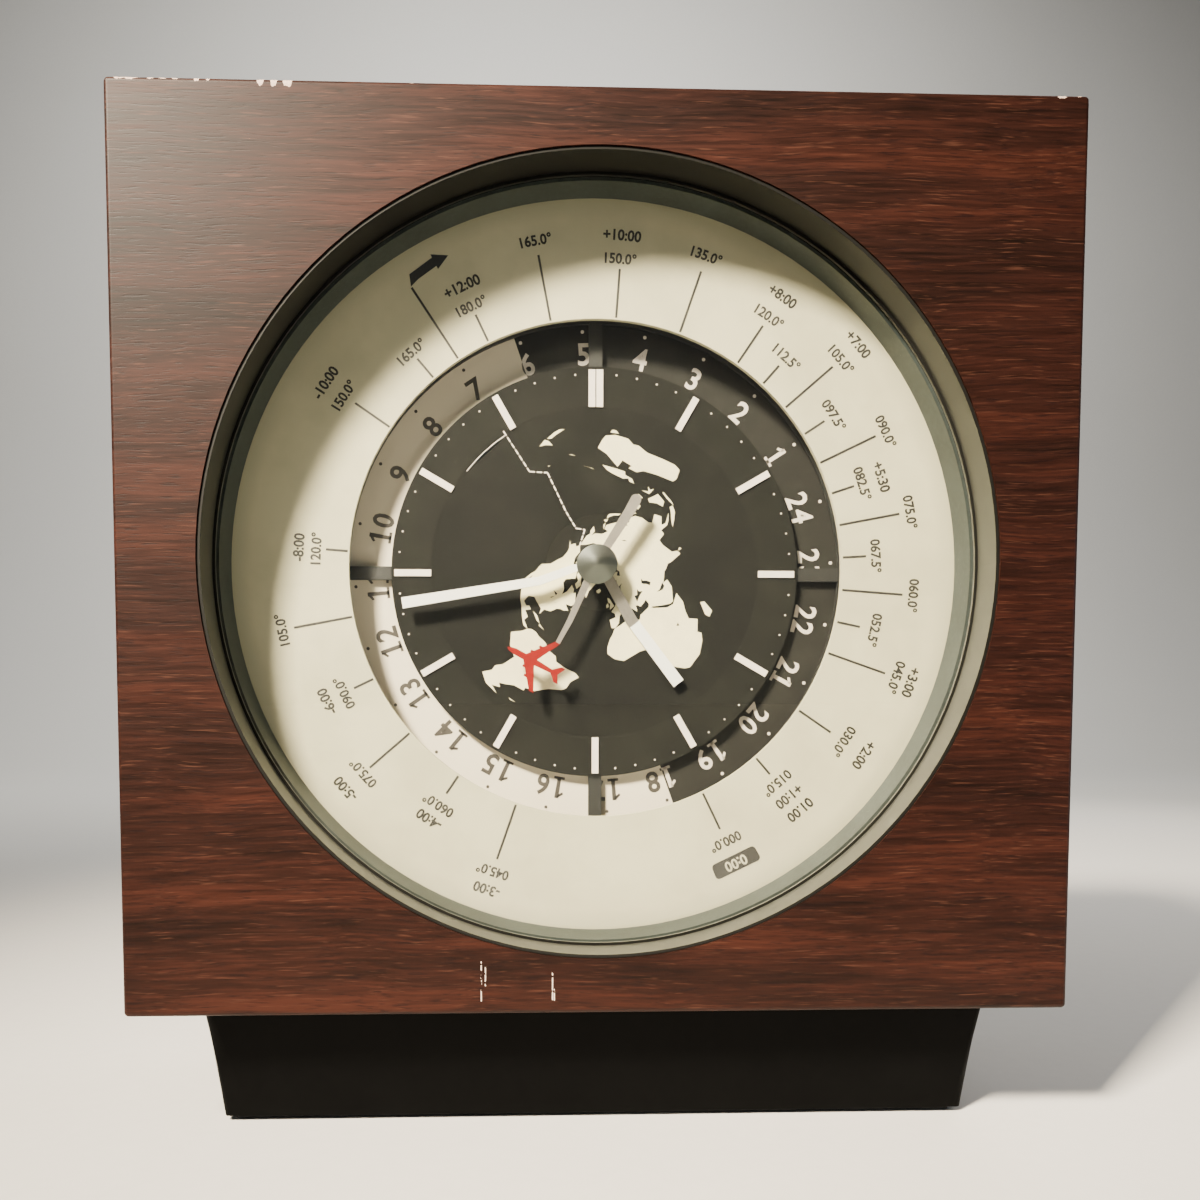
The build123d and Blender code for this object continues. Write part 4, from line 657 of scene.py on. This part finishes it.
ISLANDS = (
    ((114, -22), (122, -18), (129, -15), (132, -11.3), (136.8, -12.2), (135.5, -15), (140.8, -17.6),
     (142.5, -10.8), (145.5, -15), (149, -21), (153.2, -26), (151.5, -33), (150, -37.5), (146, -39),
     (140.5, -38), (137.8, -34), (135.5, -34.8), (131, -31.5), (124, -33), (118, -35), (115, -34),
     (113.5, -26)),
    ((-73, 78.3), (-60, 82), (-30, 83.5), (-12, 81.5), (-20, 75), (-25, 70.5), (-40, 65), (-43, 60),
     (-51, 64), (-54, 69.5), (-58, 75.5), (-68, 76)),
    ((-80, 73.7), (-68, 70), (-62, 66.5), (-66, 62.5), (-74, 64.5), (-73, 68), (-86, 70), (-89, 72.5)),
    ((-90, 76.8), (-78, 76.5), (-75, 79), (-62, 82.5), (-85, 82.2), (-93, 80)),
    ((-117, 73), (-105, 73.5), (-101, 69), (-115, 69.3)),
    ((-125, 72), (-121, 74.2), (-117.5, 72.8), (-122, 71.3)),
    ((-24, 65.5), (-16, 66.4), (-14, 64.8), (-19, 63.4), (-22.5, 64)),
    ((-5.5, 50.1), (1.3, 51.2), (0.2, 53.2), (-2, 57.5), (-5, 58.6), (-5.5, 55.5), (-3, 53.8), (-5, 52)),
    ((-10, 52), (-6.3, 52.2), (-6, 55), (-9.5, 54)),
    ((130.5, 31.3), (132, 34), (136, 35.6), (140, 39), (141.5, 41.4), (141.8, 39), (140.8, 35.7),
     (135.8, 33.5)),
    ((140, 42), (141.7, 45.3), (145, 43.3), (141.2, 42)),
    ((142, 46), (142, 54), (144, 49.3)),
    ((120, 22.5), (121.6, 25), (121, 22.2)),
    ((120.5, 18.5), (122.2, 18.3), (121.5, 14), (124, 12.7), (120.3, 14.5)),
    ((122, 7), (123.5, 8.7), (126.3, 8.5), (125.7, 5.8)),
    ((109, 1.5), (113, 3.2), (117, 7), (119, 5), (117.5, 1), (116, -4), (110.5, -2.8)),
    ((95.3, 5.6), (98.5, 4), (103.5, -1), (106, -3), (105.5, -5.8), (102, -4), (98.5, 1)),
    ((105.3, -6.7), (110.8, -6.4), (114.5, -7.8), (114.3, -8.7), (108, -7.8)),
    ((119.5, -5.5), (120, 0.8), (125, 1.6), (121.3, -0.8), (123, -4.5), (121, -2.8)),
    ((131, -0.8), (134, -0.9), (135, -3.3), (138, -1.6), (144.5, -3.8), (147.8, -6.2), (150.5, -10.5),
     (147, -9.5), (143, -8.8), (138, -8.2), (137.5, -5.2), (133, -4)),
    ((173, -34.5), (175.8, -37), (178.3, -37.8), (175.3, -41.6), (174, -39.3)),
    ((172.7, -40.6), (174.2, -41.8), (171, -45), (168.5, -46.6), (166.5, -45.8), (170, -43)),
    ((144.8, -40.8), (148.2, -40.9), (147.5, -43.4), (146, -43.3)),
    ((164, -20), (167, -22.3), (165.5, -21.8)), ((177.3, -17.6), (178.6, -17.8), (178, -18.5)),
    ((155, -6), (157.5, -8), (160.5, -9.8), (156.5, -7.6)),
    ((44.3, -20), (49.3, -12.2), (50.3, -15.5), (47, -25), (44, -24.5)),
    ((79.9, 9.5), (81.8, 7.5), (80.5, 6)),
    ((-84.8, 22), (-80.5, 23.1), (-74.3, 20.2), (-77.5, 19.9)), ((-74, 19.9), (-68.5, 18.7), (-73.5, 18.2)),
    ((-59, 47.7), (-55.8, 51.5), (-53, 47), (-56, 47)),
    ((52, 71), (57, 75), (68, 77), (57, 71.8)), ((13, 79.5), (27, 80.2), (17, 76.7)),
    ((-61, -51.3), (-57.8, -51.5), (-60, -52.3)),
)
LAKES = (
    ((-92, 47), (-85, 48.6), (-84.5, 46.6)), ((-87.8, 42), (-85, 46), (-86.2, 42.2)),
    ((-82.5, 42), (-76.3, 44), (-79, 43)), ((31.8, -0.5), (34, 0.3), (33, -2.6)),
    ((104, 51.6), (109.7, 55.6), (108, 52.8)),
)
DATE_LINE = ((-172.5, -66), (-172.5, -22), (-180, -13), (-180, 48), (-190, 53), (-168, 66))
# The degrees of latitude from the pole at the middle of the chart to the edge of the map dial.
CHART_DEGREES = 189.8
# Each row is a mass of land: its coast and the lakes and seas inside it.
LAND = (
    (AMERICA_NORTH, *LAKES[:3]), (AMERICA_SOUTH,), (AFRICA, LAKES[3]),
    (EURASIA, BLACK_SEA, CASPIAN_SEA, LAKES[4]), *[(island,) for island in ISLANDS],
)


def chart_point(longitude, latitude):
    """A place on the polar chart, in millimetres from the axis: equal steps outwards for each degree."""
    reach = MAP_RADIUS / MM * (90 - latitude) / CHART_DEGREES
    turn = radians(GREENWICH_ANGLE - longitude)
    return reach * sin(turn), reach * cos(turn)


class WORLDCLOCK_OT_case(bpy.types.Operator):
    """Finish the wooden case"""

    bl_idname = "worldclock.case"
    bl_label = "Wooden case"

    def execute(self, context):
        dress(rosewood(context.scene.clock_case), "wood_case")
        return {"FINISHED"}


class WORLDCLOCK_OT_plinth(bpy.types.Operator):
    """Finish the plinth, its felt and the screws"""

    bl_idname = "worldclock.plinth"
    bl_label = "Plinth"

    def execute(self, context):
        # Brushed black paint on beech: nearly black, satin, with faint brush marks and dust.
        dress(even_finish("Black satin paint", linear("040404"), 1.6, 0.03,
                          {"Roughness": 0.55, "Specular IOR Level": 0.05}, shade=0.3), "plinth")
        # Pressed wool felt: dull and fibrous.
        dress(even_finish("Pressed black felt", linear("17181A"), 0.35, 0.15,
                          {"Roughness": 0.95, "Sheen Weight": 0.3, "Sheen Roughness": 0.5}, shade=0.5),
              "felt_pad")
        dress(zinc_steel(), "plinth_screws", "cover_screws", "plate_screws", "movement_screws")
        return {"FINISHED"}


class WORLDCLOCK_OT_bezel(bpy.types.Operator):
    """Finish the bezel, the glass and the sloping flange ring"""

    bl_idname = "worldclock.bezel"
    bl_label = "Bezel and glass"

    def execute(self, context):
        # Spun aluminium, dulled by age: olive-grey with fine lines round the bore. Its faces that look down
        # and its front lip are painted near-black as painted shade.
        dress(turned_finish("Spun aluminium", linear("58594F"), 0.5, 0.01,
                            {"Roughness": 0.42, "Metallic": 0.5}, painted_shade=linear("1B1B18")), "bezel")
        # Stoved paint on the flange: dark green-grey with a satin shine.
        dress(even_finish("Dark stoved paint", linear("333937"), 0.7, 0.01, {"Roughness": 0.36, "IOR": 1.5},
                          shade=0.25), "flange_ring")
        dress(clear_glass(), "glass")
        # Thin clear glass lets the lamp's light through to the dial.
        frame["nodes"]["glass"].visible_shadow = False
        frame["nodes"]["glass"].visible_diffuse = False
        return {"FINISHED"}


class WORLDCLOCK_OT_city_ring(bpy.types.Operator):
    """Paint the fixed outer ring and print its zone lines and figures"""

    bl_idname = "worldclock.city_ring"
    bl_label = "Fixed zone ring"

    def execute(self, context):
        dial = context.scene.clock_dial
        dress(ivory_paint(dial), "city_ring")
        lift, height, width = dial.print_lift / MM, dial.zone_height / MM, dial.tick_width / MM
        front = city_low.y - dial.print_lift / 2
        # The lines start a little way under the edge of the window.
        inner = RING_RADIUS / MM - 1.4
        dark = ink("Dark dial ink", dial.ink)

        lines, figures = bmesh.new(), bmesh.new()
        for hours, outer, rows in ZONES:
            turn = GREENWICH_ANGLE - HOUR_STEP * hours
            gather(lines, bar_mesh(inner, outer, width, lift), laid(front, turn))
            for row, radius in enumerate(rows):
                text = figure_mesh(zone_text(hours, row), height, lift, weight=0.28)
                gather(figures, text, bent(turn, radius, front))
        gather(lines, bar_mesh(inner, DATE_LINE_END, width, lift), laid(front, DATE_LINE_ANGLE))
        arrow = [(0, 0.2), (0.9, 2.1), (5.6, 2.6), (5.6, 3.2), (8.2, 1.7), (5.6, 0.4), (5.6, 1), (1.7, 0.6)]
        gather(lines, outline_mesh([arrow], lift), bent(DATE_LINE_ANGLE, DATE_LINE_END, front))
        finish_piece("zone_lines", lines, "case", dark)
        finish_piece("zone_figures", figures, "case", dark)

        label, naught = bmesh.new(), bmesh.new()
        half_length, half_height, corner = 4.4, 1.45, 0.7
        outline = [
            (side * (half_length - corner) + corner * cos(radians(start + step)),
             rise * (half_height - corner) + corner * sin(radians(start + step)))
            for side, rise, start in ((1, 1, 0), (-1, 1, 90), (-1, -1, 180), (1, -1, 270))
            for step in (0, 30, 60, 90)
        ]
        gather(label, outline_mesh([outline], lift), bent(GREENWICH_ANGLE, LABEL_RADIUS, front))
        gather(naught, figure_mesh("0:00", height, lift, weight=0.2),
               bent(GREENWICH_ANGLE, LABEL_RADIUS, front - dial.print_lift))
        finish_piece("zero_label", label, "case", dark)
        finish_piece("zero_figures", naught, "case", ink("Ivory dial ink", dial.ivory))
        return {"FINISHED"}


class WORLDCLOCK_OT_day_night(bpy.types.Operator):
    """Colour the turning ring and print its twenty-four hours"""

    bl_idname = "worldclock.day_night"
    bl_label = "Day and night ring"

    def execute(self, context):
        dial = context.scene.clock_dial
        dress(two_halves(dial), "day_night_ring")
        lift = dial.print_lift / MM
        front = ring_low.y - dial.print_lift / 2
        figure_radius, dot_radius, dot_width = 39.6, 43.6, 0.62
        height = dial.figure_height / MM
        figures = bmesh.new()
        for hour in range(1, 25):
            turn = MIDDAY_ANGLE - HOUR_STEP * (hour - 12)
            gather(figures, hour_figures(hour, height, lift), bent(turn, figure_radius, front))
            gather(figures, dot_mesh(dot_width, lift), bent(turn, dot_radius, front))
        finish_piece("ring_figures", figures, "day_night", ring_ink(dial))
        return {"FINISHED"}


class WORLDCLOCK_OT_chart(bpy.types.Operator):
    """Paint the map dial and print its land, date line, dots and hour marks"""

    bl_idname = "worldclock.chart"
    bl_label = "Map dial"

    def execute(self, context):
        dial = context.scene.clock_dial
        white = ink("White dial ink", dial.figures)
        dress(chart_ground(dial), "map_dial")
        dress(white, "hour_batons")
        dress(even_finish("Matt black paint", linear("161614"), 0.5, 0.01, {"Roughness": 0.6, "IOR": 1.48}),
              "dial_tray", "dial_bridge")
        lift = dial.print_lift / MM
        front = map_low.y - dial.print_lift / 2

        land = bmesh.new()
        for coasts in LAND:
            gather(land, outline_mesh([[chart_point(*place) for place in coast] for coast in coasts], lift),
                   laid(front))
        finish_piece("chart_land", land, "case", ink("Cream dial ink", dial.land))

        line = bmesh.new()
        half_width, pitch, dash = 0.12, 1.3, 0.975
        for start, end in zip(DATE_LINE, DATE_LINE[1:]):
            first = Vector(chart_point(*start))
            run = Vector(chart_point(*end)) - first
            along = run.normalized()
            side = Vector((-along.y, along.x)) * half_width
            for count in range(int(run.length / pitch) + 1):
                begin = first + along * count * pitch
                finish = first + along * min(count * pitch + dash, run.length)
                outline = [begin - side, finish - side, finish + side, begin + side]
                gather(line, outline_mesh([outline], lift), laid(front))

        arc_length, arc_steps, arc_half_width = 9.4, 12, 0.07
        upper = [(-arc_length * step / arc_steps, arc_half_width) for step in range(arc_steps + 1)]
        lower = [(across, -arc_half_width) for across, _ in reversed(upper)]
        gather(line, outline_mesh([upper + lower], lift), bent(DATE_LINE_ANGLE, CHART_RADIUS / MM, front))

        dot_radius, dot_width, minute_step = 0.965 * MAP_RADIUS / MM, 0.34, 6
        for minute in range(60):
            if minute % 5:
                gather(line, dot_mesh(dot_width, lift), bent(minute * minute_step, dot_radius, front))
        finish_piece("date_line_and_dots", line, "case", white)
        return {"FINISHED"}


class WORLDCLOCK_OT_hands(bpy.types.Operator):
    """Finish the hands, the aeroplane and the cap"""

    bl_idname = "worldclock.hands"
    bl_label = "Hands"

    def execute(self, context):
        hands = context.scene.clock_hands
        dress(two_tone_hand(hands), "hour_hand")
        # Enamelled pressed aluminium: clean white with a soft shine.
        dress(even_finish("White hand paint", hands.white, 0.5, 0.01, {"Roughness": 0.4, "IOR": 1.5},
                          shade=0.03), "minute_hand")
        # Bare rolled aluminium: a grey satin shine.
        dress(even_finish("Satin aluminium", hands.silver, 0.3, 0.01, {"Roughness": 0.4, "Metallic": 0.8},
                          shade=0.1, patch=3.0), "second_hand")
        # Brushed enamel paint: a deep red, slightly uneven, with little shine.
        dress(even_finish("Red hand paint", hands.red, 0.4, 0.01,
                          {"Roughness": 0.45, "Specular IOR Level": 0.3}, shade=0.12, patch=2.0), "aeroplane")
        # Turned steel cone: bright, with fine rings that pull the highlight out along the radius.
        dress(turned_finish("Turned steel", linear("7E817C"), 0.16, 0.004,
                            {"Roughness": 0.3, "Metallic": 1.0}), "hand_cap")
        return {"FINISHED"}


class WORLDCLOCK_OT_movement(bpy.types.Operator):
    """Finish the movement, the coil, the board and the battery"""

    bl_idname = "worldclock.movement"
    bl_label = "Movement"

    def execute(self, context):
        # Machined brass with faint tool rings.
        dress(turned_finish("Machined brass", linear("B59A55"), 0.35, 0.008,
                            {"Roughness": 0.3, "Metallic": 1.0}), *slot_nodes("brass"))
        dress(zinc_steel(), *slot_nodes("steel"))
        # Each row is a slot, its finish and colour, the grain and its depth, its constants and its shade.
        rows = (
            # Off-white and slightly waxy.
            ("acetal", "Moulded acetal", "E4E2D6", 0.6, 0.01,
             {"Roughness": 0.42, "IOR": 1.48, "Subsurface Weight": 0.1}, 0.05),
            # Dark grey and dull, with a fine sintered grain.
            ("magnet", "Sintered ferrite", "2C2C2E", 0.15, 0.02, {"Roughness": 0.6}, 0.25),
            # Black with a fine even grain.
            ("shell", "Black moulded ABS", "1B1B1C", 0.35, 0.02, {"Roughness": 0.5, "IOR": 1.54}, 0.18),
            # Glossy brown-red, ribbed by its turns.
            ("copper", "Enamelled copper wire", "A4562F", 0.12, 0.05,
             {"Roughness": 0.35, "Metallic": 0.9}, 0.18),
            # Green solder mask over glass cloth.
            ("board", "Green circuit laminate", "2E6136", 0.3, 0.01, {"Roughness": 0.4, "IOR": 1.5}, 0.18),
            # Grey lacquer over steel, smooth with a metal glint.
            ("battery", "Printed steel jacket", "4A4C50", 0.8, 0.01,
             {"Roughness": 0.35, "Metallic": 0.3}, 0.18),
        )
        for slot, name, colour, grain, depth, constants, shade in rows:
            dress(even_finish(name, linear(colour), grain, depth, constants, shade), *slot_nodes(slot))
        return {"FINISHED"}


def slot_nodes(slot):
    """The carried-over nodes that take their finish from a slot and have none of their own yet."""
    done = {"hour_hand", "minute_hand", "hand_cap"}
    named = [part["node"] for part in frame["record"]["subparts"] if part.get("material_slot") == slot]
    return [name for name in named if name not in done]


class WORLDCLOCK_OT_back(bpy.types.Operator):
    """Finish the back cover, the battery door and the setting knob"""

    bl_idname = "worldclock.back"
    bl_label = "Back"

    def execute(self, context):
        # Injection-moulded ABS from a spark-eroded tool: black with an even fine grain and a low sheen.
        dress(even_finish("Grained black ABS", linear("151516"), 0.55, 0.06, {"Roughness": 0.58, "IOR": 1.54},
                          shade=0.22), "back_cover", "battery_door")
        # The same plastic from a smoother tool, a little shinier.
        dress(even_finish("Satin black ABS", linear("1A1A1B"), 1.2, 0.02, {"Roughness": 0.4, "IOR": 1.54}),
              "set_knob")
        return {"FINISHED"}


class WORLDCLOCK_OT_stage(bpy.types.Operator):
    """Set up the floor, the lights and the camera"""

    bl_idname = "worldclock.stage"
    bl_label = "Stage"

    def execute(self, context):
        stage = context.scene.clock_stage
        self.floor(context, stage)
        self.lights(context, stage)
        self.camera(context, stage)
        return {"FINISHED"}

    def floor(self, context, stage):
        """A pale sheet that curves up into a wall behind the clock."""
        half_width, wall_height, fold_radius = 1.6, 2.0, 0.6
        work = bmesh.new()
        bmesh.ops.create_grid(work, x_segments=1, y_segments=1, size=half_width)
        far = [edge for edge in work.edges if all(vert.co.y > 0 for vert in edge.verts)]
        raised = bmesh.ops.extrude_edge_only(work, edges=far)["geom"]
        bmesh.ops.translate(work, vec=(0, 0, wall_height),
                            verts=[part for part in raised if isinstance(part, bmesh.types.BMVert)])
        fold = [edge for edge in work.edges if len(edge.link_faces) == 2]
        bmesh.ops.bevel(work, geom=fold, offset=fold_radius, segments=12, profile=0.5, affect="EDGES",
                        material=-1)
        for face in work.faces:
            face.smooth = True
        mesh = as_mesh(work, "floor")
        # Matt studio paper: smooth and pale.
        mesh.materials.append(even_finish("Pale studio sheet", stage.floor, 3.0, 0.01, {"Roughness": 0.7},
                                          shade=0.02, patch=300.0))
        floor = bpy.data.objects.new("floor", mesh)
        context.scene.collection.objects.link(floor)

    def lights(self, context, stage):
        """A key light from the upper left, a soft fill from the right, two lights behind and a dim room."""
        floor_spot = Vector((0, 1.5, 0.3))
        # Each row is a lamp: its place from the dial's centre in millimetres, what it is aimed at, its side
        # in metres, its beam in degrees, its power and its tint.
        rows = (
            ("key_light", (-398, -477, 509), CENTRE, 0.13, stage.key_spread, stage.key_power, "FFEFD6"),
            ("floor_light", (0, 600, 1100), floor_spot, 0.9, 140.0, stage.floor_power, "FFFDF8"),
            ("fill_light", (430, -190, -60), CENTRE, 0.3, 120.0, stage.fill_power, "E2ECFF"),
            ("back_light", (480, 560, 420), CENTRE, 0.4, 130.0, stage.back_power, "FFF8F0"),
        )
        for name, reach, aim, size, spread, power, tint in rows:
            light = bpy.data.lights.new(name, "AREA")
            light.size = size
            light.spread = radians(spread)
            light.energy = power
            light.color = linear(tint)[:3]
            lamp = bpy.data.objects.new(name, light)
            lamp.location = CENTRE + Vector(reach) * MM
            lamp.rotation_euler = (lamp.location - aim).to_track_quat("Z", "Y").to_euler()
            context.scene.collection.objects.link(lamp)
        world = bpy.data.worlds.new("studio")
        world.use_nodes = True
        room = world.node_tree.nodes["Background"]
        fill(world.node_tree, room, {"Color": linear("E2E4E8"), "Strength": stage.sky})
        context.scene.world = world

    def camera(self, context, stage):
        """The photograph's place: just left of the dial's axis and a little below it."""
        offset = Vector((-14.3, -205.8, -25.0)) * MM
        pitch, yaw = -3.09, -1.97
        camera = bpy.data.cameras.new("camera")
        camera.lens = stage.lens
        camera.sensor_width = 36.0
        camera.shift_x, camera.shift_y = 0.039, 0.14
        camera.clip_start = 0.01
        holder = bpy.data.objects.new("camera", camera)
        holder.location = CENTRE + offset
        holder.rotation_euler = (radians(90 + pitch), 0, radians(yaw))
        context.scene.collection.objects.link(holder)
        context.scene.camera = holder


class WORLDCLOCK_PT_panel(bpy.types.Panel):
    """Lists the clock's pieces and settings"""

    bl_label = "World time clock"
    bl_idname = "WORLDCLOCK_PT_panel"
    bl_space_type = "VIEW_3D"
    bl_region_type = "UI"
    bl_category = "World clock"

    def draw(self, context):
        layout = self.layout
        for operator in OPERATORS:
            layout.operator(operator.bl_idname)
        for name in SETTINGS:
            group = getattr(context.scene, name)
            box = layout.box()
            for setting in group.bl_rna.properties.keys():
                if setting not in ("rna_type", "name"):
                    box.prop(group, setting)


SETTINGS = {
    "clock_case": ClockCaseSettings,
    "clock_dial": ClockDialSettings,
    "clock_hands": ClockHandSettings,
    "clock_stage": ClockStageSettings,
}
OPERATORS = (
    WORLDCLOCK_OT_case, WORLDCLOCK_OT_plinth, WORLDCLOCK_OT_bezel, WORLDCLOCK_OT_city_ring,
    WORLDCLOCK_OT_day_night, WORLDCLOCK_OT_chart, WORLDCLOCK_OT_hands, WORLDCLOCK_OT_movement,
    WORLDCLOCK_OT_back, WORLDCLOCK_OT_stage,
)
CLASSES = (*SETTINGS.values(), *OPERATORS, WORLDCLOCK_PT_panel)


def register():
    for one_class in CLASSES:
        bpy.utils.register_class(one_class)
    for name, group in SETTINGS.items():
        setattr(bpy.types.Scene, name, bpy.props.PointerProperty(type=group))


def unregister():
    for name in SETTINGS:
        delattr(bpy.types.Scene, name)
    for one_class in reversed(CLASSES):
        bpy.utils.unregister_class(one_class)


def main():
    """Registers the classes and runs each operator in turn."""
    register()
    for operator in OPERATORS:
        group, name = operator.bl_idname.split(".")
        getattr(getattr(bpy.ops, group), name)()


if __name__ == "__main__":
    main()
